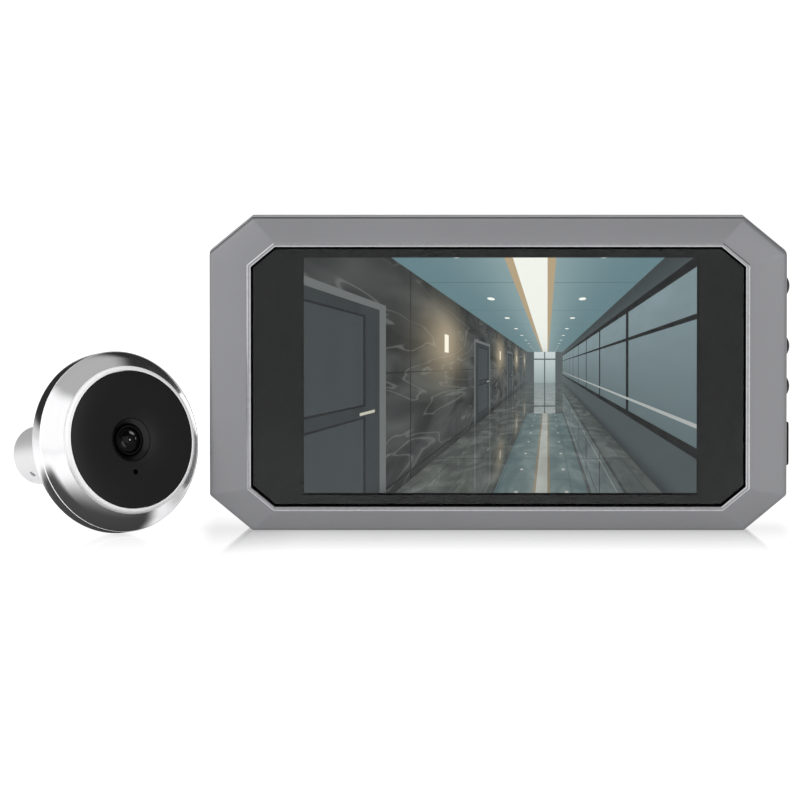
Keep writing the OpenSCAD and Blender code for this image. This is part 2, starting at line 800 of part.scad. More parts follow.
// Rear housing
module housing_shell() {
    difference() {
        along_y(y_seam, y_back) case_outline();
        along_y(y_seam - past, y_inside) case_outline(wall);
    }
    along_y(y_tongue + slide_fit, y_seam + skin) difference() {
        case_outline(lap_t + slide_fit);
        case_outline(wall);
        module_outline(pocket_fit + rib_t + slide_fit);
        for (p = post_places) translate(p) circle(post_r + slide_fit);
    }
}
module housing_posts() {
    along_y(y_seam, y_inside + skin) for (p = post_places) translate(p) circle(post_r);
}
module battery_box() {
    along_y(y_box_floor, y_inside + skin)
        box_at([battery_x, battery_z], [well_w + 2 * box_wall, well_h + 2 * box_wall]);
}
module speaker_ring() {
    along_y(y_inside - speaker_ring_d, y_inside + skin) translate([speaker_x, speaker_z])
        ring(speaker_d / 2 + pocket_fit + speaker_ring_t, speaker_d / 2 + pocket_fit);
}
module bracket_pad() {
    along_y(y_hook_wall, y_inside + skin)
        box_at([0, recess_z], [recess_w + 2 * pad_margin, recess_h + 2 * pad_margin]);
}
module battery_cuts() {
    along_y(y_cover, y_back + past)
        box_at([battery_x, battery_z], [cover_w + 2 * slide_fit, cover_h + 2 * slide_fit]);
    along_y(y_battery - slide_fit, y_back + past) box_at([battery_x, battery_z], [well_w, well_h]);
    along_y(y_box_floor - past, contact_top + pocket_fit)
        box_at([well_right + box_wall / 2, battery_z], [box_wall + 2 * skin, contact_h + 2 * pocket_fit]);
}
module bracket_cuts() {
    along_y(y_recess, y_back + past) box_at([0, recess_z], [recess_w, recess_h]);
    along_y(y_hook_wall - past, y_recess + past) {
        for (p = slot_places) translate(p) slot(slot_len, slot_w);
        box_at([0, recess_z], [ribbon_w, ribbon_h]);
    }
}
module grille_holes() {
    along_y(y_inside - past, y_back + past) translate([speaker_x, speaker_z]) {
        circle(grille_d / 2);
        for (k = [1 : grille_rings], i = [0 : 6 * k - 1])
            rotate(i * 60 / k) translate([k * grille_pitch, 0]) circle(grille_d / 2);
    }
}
module screw_holes() {
    for (p = post_places) translate([p[0], 0, p[1]]) {
        along_y(y_seam - past, y_back) circle(case_screw_r + screw_fit);
        along_y(y_back - case_head_sunk - case_head_t, y_back + past) circle(case_head_r + pocket_fit);
    }
}
module key_holes() {
    r = key_d / 2 + slide_fit;
    for (z = [menu_z, up_z, down_z]) translate([0, key_y, z]) {
        along_x(x_side_in - past, x_side + past) circle(r);
        rotate([0, 90, 0]) translate([0, 0, x_side - key_countersink])
            cylinder(h = 2 * key_countersink, r1 = r, r2 = r + 2 * key_countersink);
    }
    along_x(x_side_in - past, x_side + past)
        translate([key_y, view_z]) rotate(90) slot(view_len + 2 * slide_fit, view_w + 2 * slide_fit);
}
module port_holes() {
    along_z(-past, wall + past) {
        translate([charge_x, charge_y]) slot(charge_w + 2 * port_fit, charge_t + 2 * port_fit);
        translate([card_x, y_parts + card_t / 2])
            slot(card_mouth + 2 * port_fit, card_slot_t + 2 * port_fit);
    }
}
module rear_housing() {
    color("#88898c") difference() {
        union() {
            housing_shell();
            housing_posts();
            battery_box();
            speaker_ring();
            bracket_pad();
        }
        battery_cuts();
        bracket_cuts();
        grille_holes();
        screw_holes();
        key_holes();
        port_holes();
    }
}
module case_screws() {
    color("#8d9093") for (p = post_places) translate([p[0], 0, p[1]]) {
        y_head = y_back - case_head_sunk - case_head_t;
        along_y(y_seam - case_screw_bite, y_head + skin) circle(case_screw_r);
        along_y(y_head, y_head + case_head_t) difference() {
            circle(case_head_r);
            for (turn = [0, 90]) rotate(turn) square(case_slot, center = true);
        }
    }
}

// Camera head
module camera_housing() {
    r = spigot_r + screw_fit;
    band = [[r, 0], [flange_r - band_edge, 0], [flange_r, band_edge], [flange_r, flange_t - band_edge / 2],
        [flange_r - band_edge / 2, flange_t]];
    ring_arc = [for (i = [0 : ring_steps]) let (t = 90 * i / ring_steps)
        [face_hole_r + ring_w * cos(t), head_h - ring_h * (1 - sin(t))]];
    inside = [[face_hole_r, a_tape], [chamber_r, a_tape], [chamber_r, rear_t], [r, rear_t]];
    color("#c9cacc") on_camera() difference() {
        union() {
            turned(concat(band, ring_arc, inside));
            along_axis(rear_t - skin, a_camera_board) for (t = screw_angles)
                rotate(t) translate([camera_screw_ring, 0]) circle(camera_boss_r);
        }
        along_axis(a_camera_board - camera_screw_bite - screw_fit, a_camera_board + past)
            for (t = screw_angles)
                rotate(t) translate([camera_screw_ring, 0]) circle(camera_screw_r + screw_fit);
    }
}
module face_panel() {
    color("#161616") on_camera() along_axis(a_face, a_face_front) difference() {
        circle(face_r);
        circle(well_r);
        translate([pinhole_side, -pinhole_drop]) circle(pinhole_d / 2);
    }
}
module panel_tape() {
    color("#2b2b2b") on_camera() along_axis(a_tape, a_face) ring(face_r, chamber_r);
}
module lens_hood() {
    out = well_r - screw_fit;
    throat = lens_barrel_r + screw_fit;
    color("#0e0e0e") on_camera() turned([[throat, a_face - hood_t], [out + hood_lap, a_face - hood_t],
        [out + hood_lap, a_face], [out, a_face], [out, a_face_front], [out - hood_edge, a_face_front],
        [throat, a_lens_top - hood_sunk]]);
}
module lens_barrel() {
    lip_r = rear_lens_r - lens_lip;
    color("#111111") on_camera() turned([[lip_r, a_lens_bottom], [lens_barrel_r, a_lens_bottom],
        [lens_barrel_r, a_lens_top], [lens_r + screw_fit, a_lens_top], [lens_r + screw_fit, a_lens],
        [rear_lens_r + screw_fit, a_lens], [rear_lens_r + screw_fit, a_rear_lens], [lip_r, a_rear_lens]]);
}
module front_lens() {
    crown_r = (lens_r * lens_r + lens_dome * lens_dome) / (2 * lens_dome);
    color("#20262e") on_camera() intersection() {
        along_axis(a_lens, a_lens + lens_edge + lens_dome) circle(lens_r);
        translate([0, -(a_lens + lens_edge + lens_dome - crown_r), 0]) sphere(crown_r, $fn = 128);
    }
}
module rear_lens() {
    color("#20262e") on_camera() along_axis(a_rear_lens, a_rear_lens + rear_lens_t) circle(rear_lens_r);
}
module lens_holder() {
    throat = lens_barrel_r + screw_fit;
    color("#18191a") on_camera() difference() {
        union() {
            along_axis(a_camera_parts, a_camera_parts + holder_base) square(holder_w, center = true);
            along_axis(a_camera_parts, a_holder_top) circle(throat + holder_wall);
        }
        along_axis(a_camera_parts - past, a_camera_parts + sensor_t + pocket_fit)
            square(sensor_w + 2 * pocket_fit, center = true);
        along_axis(a_camera_parts, a_holder_top + past) circle(throat);
    }
}
module image_sensor() {
    color("#39424d") on_camera() along_axis(a_camera_parts, a_camera_parts + sensor_t)
        square(sensor_w, center = true);
}
module camera_board() {
    color("#2f6b46") on_camera() along_axis(a_camera_board, a_camera_parts) difference() {
        circle(camera_board_r);
        for (t = screw_angles)
            rotate(t) translate([camera_screw_ring, 0]) circle(camera_screw_r + screw_fit);
    }
}
module infrared_leds() {
    a = a_camera_parts;
    top = a + led_h;
    color("#3a2f3d") on_camera() for (t = led_angles) rotate([0, -t, 0]) translate([led_ring, 0, 0])
        turned([[0, a], [led_r + led_foot, a], [led_r + led_foot, a + led_foot_t], [led_r, a + led_foot_t],
            [led_r, top - led_shoulder], [led_r - led_shoulder, top - led_crown], [0, top]]);
}
module microphone() {
    color("#b9bbbd") on_camera() along_axis(a_camera_parts, a_camera_parts + mic_t)
        translate([pinhole_side, -pinhole_drop]) circle(mic_r);
}
module microphone_boot() {
    color("#232323") on_camera() along_axis(a_camera_parts + mic_t, a_face - slide_fit)
        translate([pinhole_side, -pinhole_drop]) ring(mic_boot_r, pinhole_d / 2);
}
module camera_screws() {
    color("#8d9093") on_camera() for (t = screw_angles)
        rotate([0, -t, 0]) translate([camera_screw_ring, 0, 0]) {
        along_axis(a_camera_board - camera_screw_bite, a_camera_parts + skin) circle(camera_screw_r);
        along_axis(a_camera_parts, a_camera_parts + camera_head_t) difference() {
            circle(camera_head_r);
            for (turn = [0, 90]) rotate(turn) square(camera_slot, center = true);
        }
    }
}
module camera_socket() {
    size = [7, 3];
    height = 0.9;
    color("#e3ddcf") on_camera() along_axis(a_camera_board - height, a_camera_board)
        square(size, center = true);
}

// Barrel through the door, and the foam ring that seals the flange
module door_barrel() {
    color("#b9babc") on_camera() difference() {
        turned([[bore_r, -barrel_len], [barrel_r - barrel_edge, -barrel_len],
            [barrel_r, barrel_edge - barrel_len], [barrel_r, 0], [spigot_r, 0], [spigot_r, spigot_len],
            [bore_r, spigot_len]]);
        translate([0, barrel_len - cross_hole_from_end, 0]) rotate([0, 90 - cross_hole_angle, 0])
            cylinder(h = barrel_r + past, d = cross_hole_d);
    }
}
module door_gasket() {
    color("#1d1d1e") on_camera() along_axis(-door_gasket_t, 0) ring(gasket_out, barrel_r + gasket_ease);
}

front_bezel();
front_window();
window_mask();
lcd_gasket();
lcd_glass();
backlight_tray();
lcd_cushions();
lcd_flex();
lcd_socket();
main_board();
board_chips();
key_switches();
charging_socket();
card_socket();
ribbon_socket();
board_screws();
menu_key();
up_key();
down_key();
view_key();
battery_contacts();
battery();
battery_cover();
speaker_frame();
speaker_magnet();
speaker_cone();
rear_housing();
case_screws();
camera_housing();
face_panel();
panel_tape();
lens_hood();
lens_barrel();
front_lens();
rear_lens();
lens_holder();
image_sensor();
camera_board();
infrared_leds();
microphone();
microphone_boot();
camera_screws();
camera_socket();
door_barrel();
door_gasket();
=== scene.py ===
"""Looks of a peephole door camera: a monitor with a lit screen beside a round camera on a door barrel.

Metres, +Z up, the screen towards -Y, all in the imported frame.
"""

import json
import math

import bmesh
import bpy
from mathutils import Matrix, Vector


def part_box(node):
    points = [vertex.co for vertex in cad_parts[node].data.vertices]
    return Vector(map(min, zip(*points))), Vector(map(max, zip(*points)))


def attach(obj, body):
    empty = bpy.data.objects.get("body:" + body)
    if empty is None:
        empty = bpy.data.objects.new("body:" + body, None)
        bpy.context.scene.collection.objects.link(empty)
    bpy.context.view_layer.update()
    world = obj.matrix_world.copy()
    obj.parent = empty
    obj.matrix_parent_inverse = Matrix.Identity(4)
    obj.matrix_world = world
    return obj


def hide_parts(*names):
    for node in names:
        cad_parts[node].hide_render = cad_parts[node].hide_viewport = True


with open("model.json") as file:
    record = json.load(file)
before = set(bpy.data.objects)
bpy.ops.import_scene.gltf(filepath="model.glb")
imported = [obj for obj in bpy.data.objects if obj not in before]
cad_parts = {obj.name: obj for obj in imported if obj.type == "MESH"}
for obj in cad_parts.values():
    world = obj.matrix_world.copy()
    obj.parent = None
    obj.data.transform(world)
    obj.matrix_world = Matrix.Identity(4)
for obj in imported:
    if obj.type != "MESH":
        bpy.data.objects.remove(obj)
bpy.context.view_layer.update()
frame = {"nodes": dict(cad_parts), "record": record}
MM = 0.001
QUARTER = math.radians(90)

# Monitor: what the frame's boxes give
bezel_low, bezel_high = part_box("front_bezel")
_, housing_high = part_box("rear_housing")
window_low, window_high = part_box("front_window")
_, mask_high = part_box("window_mask")
gasket_low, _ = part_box("lcd_gasket")
lcd_low, lcd_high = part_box("lcd_glass")
case_size = (bezel_high - bezel_low).xz
case_mid = Vector((0.0, case_size.y / 2))
window_size = (window_high - window_low).xz
window_mid = Vector((0.0, (window_low.z + window_high.z) / 2))
lcd_size = (lcd_high - lcd_low).xz
lcd_mid = ((lcd_low + lcd_high) / 2).xz

# Monitor: sizes that no box gives
corner_slope = 8.4 / 10.2
corner_cut = Vector((10.2, 8.4)) * MM
window_cut = Vector((5.5, 5.5 * corner_slope)) * MM
facet_drop = 2.2 * MM
rim_depth = 4.0 * MM
wall = 2.0 * MM
lip_width = 1.1 * MM
lip_proud = 0.3 * MM
window_gap = 0.35 * MM
ledge_reveal = 0.6 * MM
lcd_border = Vector((5.2, 2.4)) * MM
lit_size = lcd_size - 2 * lcd_border
round_key_proud = 0.9 * MM
view_key_proud = 0.75 * MM
key_lap = 0.9 * MM
key_gap = 0.1 * MM
key_flange_t = 0.8 * MM
key_stem_r = 1.4 * MM

# Depths of the monitor's layers along Y
y_front = bezel_low.y
y_rim = y_front + facet_drop
y_bezel_back = y_rim + rim_depth
y_ledge = mask_high.y
y_pocket = gasket_low.y

# Camera head: its axis comes from the barrel's mount. A distance along it is counted from the flange's back
barrel_mount = next(m for m in frame["record"]["mounts"] if m["name"] == "door_barrel_outside")
barrel_mount_depth = 18.0 * MM
camera_out = -Vector(barrel_mount["axis"])
camera_origin = Vector(barrel_mount["pos_m"]) + camera_out * barrel_mount_depth
camera_yaw = math.atan2(camera_out.x, -camera_out.y)
camera_tilt = math.asin(camera_out.z)
camera_place = (Matrix.Translation(camera_origin) @ Matrix.Rotation(camera_yaw, 4, "Z")
                @ Matrix.Rotation(-camera_tilt, 4, "X"))
flange_r = 21.6 * MM
flange_t = 3.9 * MM
head_h = 10.0 * MM
ring_h = 1.4 * MM
ring_w = 1.2 * MM
face_r = 16.35 * MM
ring_hole_r = 16.5 * MM
face_front = 9.75 * MM
face_back = 8.25 * MM
tape_t = 0.2 * MM
chamber_r = 14.65 * MM
rear_t = 2.0 * MM
well_r = 5.15 * MM
lens_r = 2.95 * MM
lens_tube_r = 3.58 * MM
lens_top = 8.85 * MM
lens_seat = lens_top - 1.1 * MM
pinhole_r = 0.65 * MM
pinhole_at = Vector((0.5, -7.7)) * MM
barrel_r = barrel_mount["dims"]["r_mm"] * MM
bore_r = 5.5 * MM
spigot_r = 6.2 * MM
barrel_len = 36.3 * MM
screw_fit = 0.08 * MM
glass_gap = 0.02 * MM

# Meshes: near points count as one, and faces that stay flat have this area or this many sides
weld = 0.001 * MM
flat_area = 3.0 * MM * MM
cap_sides = 12

# View: the photograph's place, 2.5 m away and a little above
look_at = Vector((-23.4, -6.8, 31.18)) * MM
view_distance = 2.5
view_elevation = 4.4
view_width = 190.56 * MM
sensor_width = 36.0


# Nodes
def fill(tree, node, inputs):
    """Gives a node's inputs, each named or counted, a plain value, a socket or a Num."""
    for name, value in dict(inputs).items():
        socket = node.inputs[name]
        source = value.socket if isinstance(value, Num) else value
        if isinstance(source, bpy.types.NodeSocket):
            tree.links.new(source, socket)
        else:
            socket.default_value = (*source, 1.0) if socket.type == "RGBA" else source
    return node


def wired(tree, kind, inputs=(), **settings):
    """A new node of a kind, with its settings and its inputs."""
    node = tree.nodes.new(kind)
    for name, value in settings.items():
        setattr(node, name, value)
    return fill(tree, node, inputs)


class Num:
    """A number that a node tree works out at each point of a surface."""

    def __init__(self, tree, socket):
        self.tree = tree
        self.socket = socket

    def work(self, operation, *values):
        node = wired(self.tree, "ShaderNodeMath", enumerate(values), operation=operation)
        return Num(self.tree, node.outputs[0])

    def __add__(self, other):
        return self.work("ADD", self, other)

    def __sub__(self, other):
        return self.work("SUBTRACT", self, other)

    def __rsub__(self, other):
        return self.work("SUBTRACT", other, self)

    def __mul__(self, other):
        return self.work("MULTIPLY", self, other)

    def __truediv__(self, other):
        return self.work("DIVIDE", self, other)

    def __rtruediv__(self, other):
        return self.work("DIVIDE", other, self)

    def __neg__(self):
        return self * -1.0

    def __abs__(self):
        return self.work("ABSOLUTE", self)

    def below(self, other):
        return self.work("LESS_THAN", self, other)

    def above(self, other):
        return self.work("GREATER_THAN", self, other)

    def least(self, other):
        return self.work("MINIMUM", self, other)

    def most(self, other):
        return self.work("MAXIMUM", self, other)

    def span(self, other):
        """The long side over two legs at a right angle."""
        return self.work("SQRT", self * self + other * other)

    def repeat(self, length):
        """The place within the present one of equal lengths, from 0 to length."""
        return self.work("WRAP", self, length, 0.0)

    def fade(self, reach):
        """1 at nought, falling away smoothly over about reach."""
        return self.work("POWER", math.e, -(self / reach) * (self / reach))

    def within(self, centre, half):
        """1 where the number lies within half of a centre."""
        return abs(self - centre).below(half)

    def eased(self, start, end):
        """0 up to start and 1 from end, smoothly between; start may be the greater."""
        node = wired(self.tree, "ShaderNodeMapRange", {"Value": self, "From Min": start, "From Max": end},
                     interpolation_type="SMOOTHSTEP")
        return Num(self.tree, node.outputs["Result"])


def parts_of(tree, vector):
    """A vector's three numbers."""
    return [Num(tree, socket) for socket in wired(tree, "ShaderNodeSeparateXYZ", {0: vector}).outputs]


def layered(base, *layers):
    """A colour with others laid over it in turn, each a (share, colour) pair."""
    for share, colour in layers:
        base = wired(share.tree, "ShaderNodeMix", {0: share, 6: base, 7: colour}, data_type="RGBA").outputs[2]
    return base


# Finishes: each is a material whose colour, roughness and bump come from nodes
class Finish:
    """A material's node tree, with short ways to add the nodes that a finish needs."""

    def __init__(self, name):
        self.material = bpy.data.materials.new(name)
        self.material.use_nodes = True
        self.tree = self.material.node_tree
        self.shader = self.tree.nodes["Principled BSDF"]
        self.points = self.tree.nodes.new("ShaderNodeTexCoord").outputs["Object"]

    def set(self, **inputs):
        """Fills the shader's own inputs, such as base_color or roughness."""
        names = {socket.name.lower().replace(" ", "_"): socket.name for socket in self.shader.inputs}
        fill(self.tree, self.shader, {names[name]: value for name, value in inputs.items()})
        return self

    def local(self, place=None, stretch=(1, 1, 1)):
        """Object coordinates, seen from a place and stretched along its axes."""
        source = self.points
        if place is not None:
            turn = {"Vector": source, "Location": place.to_translation(), "Rotation": place.to_euler()}
            source = wired(self.tree, "ShaderNodeMapping", turn, vector_type="TEXTURE").outputs[0]
        return wired(self.tree, "ShaderNodeMapping", {"Vector": source, "Scale": stretch}).outputs[0]

    def noise(self, scale, detail=3.0, points=None, distortion=0.0):
        node = wired(self.tree, "ShaderNodeTexNoise", {"Vector": points or self.points, "Scale": scale,
                                                       "Detail": detail, "Distortion": distortion})
        return Num(self.tree, node.outputs["Fac"])

    def cells(self, scale):
        node = wired(self.tree, "ShaderNodeTexVoronoi", {"Vector": self.points, "Scale": scale})
        return Num(self.tree, node.outputs["Distance"])

    def level(self, source, low, high, start=0.3, end=0.7):
        """Spreads start to end of a source over low to high."""
        return wired(self.tree, "ShaderNodeMapRange", {"Value": source, "From Min": start, "From Max": end,
                                                       "To Min": low, "To Max": high}).outputs["Result"]

    def ramp(self, source, *stops):
        """Colours along a source, each stop a (place, colour) pair."""
        node = wired(self.tree, "ShaderNodeValToRGB", {"Fac": source})
        marks = node.color_ramp.elements
        while len(marks) < len(stops):
            marks.new(0.5)
        for mark, (place, colour) in zip(marks, stops):
            mark.position = place
            mark.color = (*colour, 1.0)
        return node.outputs["Color"]

    def tones(self, source, colour, *stops):
        """Tones of one colour along a source, each stop a (place, brightness) pair."""
        return self.ramp(source, *((place, tuple(c * bright for c in colour)) for place, bright in stops))

    def bump(self, *layers):
        """Bumps of (height source, depth in metres), one over the other."""
        below = {}
        for source, depth in layers:
            node = wired(self.tree, "ShaderNodeBump", {"Height": source, "Distance": depth, **below})
            below = {"Normal": node.outputs["Normal"]}
        fill(self.tree, self.shader, below)
        return self


def moulded(name, colour, roughness, grain=3500.0, depth=0.006 * MM, spread=0.12, gloss=0.5):
    """Moulded plastic or rubber: a fine spark-eroded grain with a slow drift of tone."""
    finish = Finish(name)
    fine = finish.noise(grain, 2.0)
    slow = finish.noise(45.0)
    finish.set(base_color=finish.tones(slow, colour, (0.3, 1 - spread), (0.7, 1 + spread)),
               roughness=finish.level(fine, roughness * 0.88, roughness * 1.12), specular_ior_level=gloss)
    return finish.bump((fine, depth)).material


def worked_metal(name, colour, roughness, stretch, place=None, depth=0.002 * MM, spread=0.1, metallic=1.0):
    """Metal with fine tool marks, drawn out along the axes where stretch is small."""
    finish = Finish(name)
    marks = finish.noise(1.0, 4.0, finish.local(place, stretch))
    slow = finish.noise(60.0)
    finish.set(base_color=finish.tones(marks, colour, (0.25, 1 - spread), (0.75, 1 + spread)),
               roughness=finish.level(slow, roughness * 0.8, roughness * 1.2), metallic=metallic)
    return finish.bump((marks, depth)).material


def satin_paint():
    """Grey satin paint with a fine metal flake, on the bezel."""
    finish = Finish("satin_grey_paint")
    flake = finish.cells(5200.0)
    slow = finish.noise(26.0, 4.0)
    grey = (0.272, 0.273, 0.286)
    finish.set(base_color=finish.tones(flake * 0.35 + slow, grey, (0.35, 0.96), (0.85, 1.05)),
               roughness=finish.level(slow, 0.4, 0.46), metallic=0.3, specular_ior_level=0.4)
    return finish.bump((flake, 0.003 * MM), (finish.noise(900.0, 2.0), 0.002 * MM)).material


def clear_sheet():
    """Clear hard-coated sheet with the faintest unevenness. Its index is low, and the layers behind it carry
    the gloss, because a reflection on both would speckle the screen."""
    finish = Finish("clear_sheet")
    finish.set(base_color=(0.98, 0.99, 0.99), transmission_weight=1.0, ior=1.02,
               roughness=finish.level(finish.noise(300.0), 0.0, 0.004))
    return finish.bump((finish.noise(40.0, 1.0), 0.0001 * MM)).material


def lens_glass():
    """Bloomed lens glass over a dark stop, with painted highlights: three arcs and a pale spot at the middle.
    """
    finish = Finish("bloomed_glass")
    across, _, upward = parts_of(finish.tree, finish.local(camera_place))
    x = across / lens_r
    z = upward / lens_r
    r = x.span(z)
    dark_stop = 0.0016
    painted_glint = 0.6
    # Painted highlight: a pale spot at the middle, over the dark stop
    tone = r.eased(0.085, 0.05) * painted_glint + dark_stop

    # Painted highlight arcs of (radius, width, middle and half angle in degrees, brightness), and faint rings
    # of (radius, brightness)
    for radius, width, middle, half, bright in ((0.62, 0.08, 62, 28, 0.34), (0.6, 0.06, 10, 14, 0.16),
                                                (0.66, 0.06, 212, 32, 0.09)):
        turn = math.radians(middle)
        lean = (x * math.cos(turn) + z * math.sin(turn)) / r.most(0.05)
        tone = tone + (r - radius).fade(width) * lean.eased(math.cos(math.radians(half)), 1.0) * bright
    for radius, bright in ((0.28, 0.008), (0.86, 0.006)):
        tone = tone + (r - radius).fade(0.05) * bright
    finish.set(base_color=tone, roughness=finish.level(finish.noise(500.0), 0.02, 0.035),
               specular_ior_level=0.07)
    return finish.bump((finish.noise(120.0, 1.0), 0.0001 * MM)).material


def open_foam(name, colour):
    """Foam, pitted all over."""
    finish = Finish(name)
    pits = finish.cells(2600.0)
    finish.set(base_color=finish.tones(pits, colour, (0.1, 0.5), (0.6, 1.0)),
               roughness=finish.level(pits, 0.8, 0.95, 0.0, 0.6), specular_ior_level=0.2)
    return finish.bump((pits, 0.05 * MM)).material


def circuit_board():
    """Green solder mask over copper tracks."""
    finish = Finish("solder_mask")
    upright = wired(finish.tree, "ShaderNodeMapping", {"Vector": finish.points, "Rotation": (QUARTER, 0, 0)})
    track = wired(finish.tree, "ShaderNodeTexBrick", {
        "Vector": upright.outputs[0], "Scale": 260.0, "Mortar Size": 0.05, "Brick Width": 1.7,
        "Row Height": 0.35, "Color1": (0.012, 0.085, 0.035), "Color2": (0.018, 0.11, 0.045),
        "Mortar": (0.05, 0.22, 0.09)})
    finish.set(base_color=track.outputs["Color"], roughness=finish.level(finish.noise(700.0), 0.25, 0.4))
    return finish.bump((track.outputs["Fac"], 0.02 * MM)).material


# The glossy layers behind the window share these
cover_roughness = 0.06
cover_gloss = 0.34


def hallway_picture():
    """A lit screen that shows a plain hallway: each point's line of sight is followed to a wall, the ceiling,
    the far end or, mirrored, off the polished floor."""
    finish = Finish("lit_hallway").set(base_color=(0.0, 0.0, 0.0), roughness=cover_roughness,
                                       specular_ior_level=cover_gloss, emission_strength=1.0)
    x, _, z = parts_of(finish.tree, finish.points)

    # The hallway's own sizes are in metres of the place shown
    focal = 40.0 * MM
    eye = lcd_mid - lit_size / 2 + Vector((0.62 * lit_size.x, 0.54 * lit_size.y))
    eye_height = 1.5
    ceiling_height = 2.75
    stone_wall = 1.8
    window_wall = 1.35
    far_end = 15.0
    tiny = 0.0001

    sight_x = (eye.x - x) / focal
    sight_z = (z - eye.y) / focal
    to_stone = sight_x.above(0.0)
    to_side = (to_stone * (stone_wall - window_wall) + window_wall) / abs(sight_x).most(tiny)
    to_floor = eye_height / (-sight_z).most(tiny)
    nearest = to_side.least(far_end)
    on_floor = to_floor.below(nearest)
    mirrored = 1.0 - on_floor * 2.0
    climb = sight_z * mirrored
    start = mirrored * eye_height
    to_ceiling = (ceiling_height - start) / climb.most(tiny)
    on_ceiling = to_ceiling.below(nearest)
    depth = nearest.least(to_ceiling)
    up = start + climb * depth
    across = sight_x * depth
    on_end = to_side.above(far_end) * (1.0 - on_ceiling)

    def grain(first, second, scale, detail=5.0, distortion=0.6):
        together = wired(finish.tree, "ShaderNodeCombineXYZ", {"X": first, "Y": second})
        return finish.noise(scale, detail, together.outputs[0], distortion)

    # Stone wall: veined slabs, plain doors in pale frames and small wall lamps between them
    slab = 1.1
    slab_gap = 0.016
    bay = 3.4
    bay_start = 0.4
    door_half = 0.5
    door_top = 2.1
    frame_w = 0.07
    groove = 0.02
    lamp_up = 1.9
    cloud = grain(depth, up * 1.6, 1.2, 2.0)
    vein = abs(grain(depth * 0.7, up * 1.5, 0.9, 2.0, 1.6) - 0.5).fade(0.012)
    joint = depth.repeat(slab).below(slab_gap).most(up.within(1.42, 0.008)).most(up.within(0.12, 0.012))
    in_bay = (depth + bay_start).repeat(bay) - bay / 2
    off_door = abs(in_bay)
    from_lamp = bay / 2 - off_door
    pool = from_lamp.fade(0.55) * (up - lamp_up).fade(0.6)
    stone = finish.ramp(cloud, (0.32, (0.030, 0.034, 0.033)), (0.5, (0.072, 0.079, 0.077)),
                        (0.68, (0.118, 0.127, 0.122)))
    stone = layered(stone, (vein * 0.5, (0.24, 0.26, 0.25)), (joint * 0.8, (0.01, 0.011, 0.011)),
                    (pool * 0.55, (0.72, 0.6, 0.42)))

    def door_panels(drawn_in):
        upright = up.within(0.62, 0.38 - drawn_in).most(up.within(1.55, 0.45 - drawn_in))
        return off_door.below(0.36 - drawn_in) * upright

    core = door_panels(groove)
    lever = in_bay.within(0.38, 0.07) * up.within(1.03, 0.014)
    leaf = layered((0.036, 0.044, 0.047), (grain(depth * 4.0, up * 0.5, 1.2, 2.0), (0.075, 0.088, 0.092)),
                   ((door_panels(0.0) - core) * 0.8, (0.012, 0.014, 0.015)),
                   (core * 0.35, (0.12, 0.138, 0.142)), (lever, (0.62, 0.6, 0.52)))
    door_frame = off_door.below(door_half + frame_w) * up.below(door_top + frame_w)
    door = off_door.below(door_half) * up.below(door_top)
    lamp = from_lamp.below(0.06) * up.within(lamp_up, 0.16)
    stone_side = layered(stone, (door_frame, (0.2, 0.215, 0.212)), (door, leaf), (lamp, (0.98, 0.93, 0.8)))

    # Window wall: tall panes between dark mullions, over a low panel with a rail
    pane = 1.5
    pane_start = 0.2
    sill = 0.7
    head = 2.45
    transom = 1.95
    bar_half = 0.05
    rail = 0.95
    sky = layered((0.13, 0.175, 0.19), ((up - sill) / (head - sill), (0.33, 0.42, 0.455)),
                  (grain(depth * 1.2, up * 2.2, 1.6) * 0.7, (0.2, 0.25, 0.25)))
    mullion = (depth + pane_start).repeat(pane).below(0.09).most(up.within(transom, 0.026))
    mullion = mullion.most(up.within(sill, bar_half)).most(up.within(head, bar_half))
    solid = up.below(sill - bar_half).most(up.above(head + bar_half))
    window_side = layered(sky, (mullion, (0.009, 0.011, 0.012)), (solid, (0.1, 0.123, 0.128)),
                          (up.within(rail, 0.02), (0.48, 0.5, 0.49)))

    # Walls fall off into the corners along floor and ceiling
    corners = up.fade(0.16) * 0.5 + (ceiling_height - up).fade(0.25) * 0.35
    side = layered(window_side, (to_stone, stone_side), (corners, (0.0, 0.0, 0.0)))

    # Ceiling: one light trough with warm sides, cross joints and two rows of spots
    trough = 0.2
    tile = 1.25
    tile_gap = 0.022
    spot_row = 0.85
    spot_r2 = 0.0045
    off_trough = abs(across - trough)
    spot_along = depth.repeat(tile) - tile / 2
    spot_across = off_trough - spot_row
    spot = (spot_along * spot_along + spot_across * spot_across).below(spot_r2)
    ceiling = layered((0.175, 0.28, 0.305), (off_trough.fade(0.7) * 0.5, (0.5, 0.6, 0.6)),
                      (depth.repeat(tile).below(tile_gap) * 0.5, (0.11, 0.17, 0.18)),
                      (off_trough.below(0.3), (0.52, 0.42, 0.28)), (off_trough.below(0.2), (0.9, 0.91, 0.85)),
                      (spot, (0.95, 0.95, 0.9)))

    # Far end: a bright glazed door
    off_end = abs(across - 0.25)
    bars = off_end.below(0.05).most(up.within(2.1, 0.06)).most(off_end.above(0.95))
    end = layered((0.42, 0.5, 0.5), (up / ceiling_height, (0.8, 0.86, 0.86)), (bars, (0.07, 0.08, 0.085)))
    haze = (depth / far_end).least(1.0)
    view = layered(side, (on_ceiling, ceiling), (on_end, end), (haze * haze * 0.3, (0.3, 0.35, 0.35)))

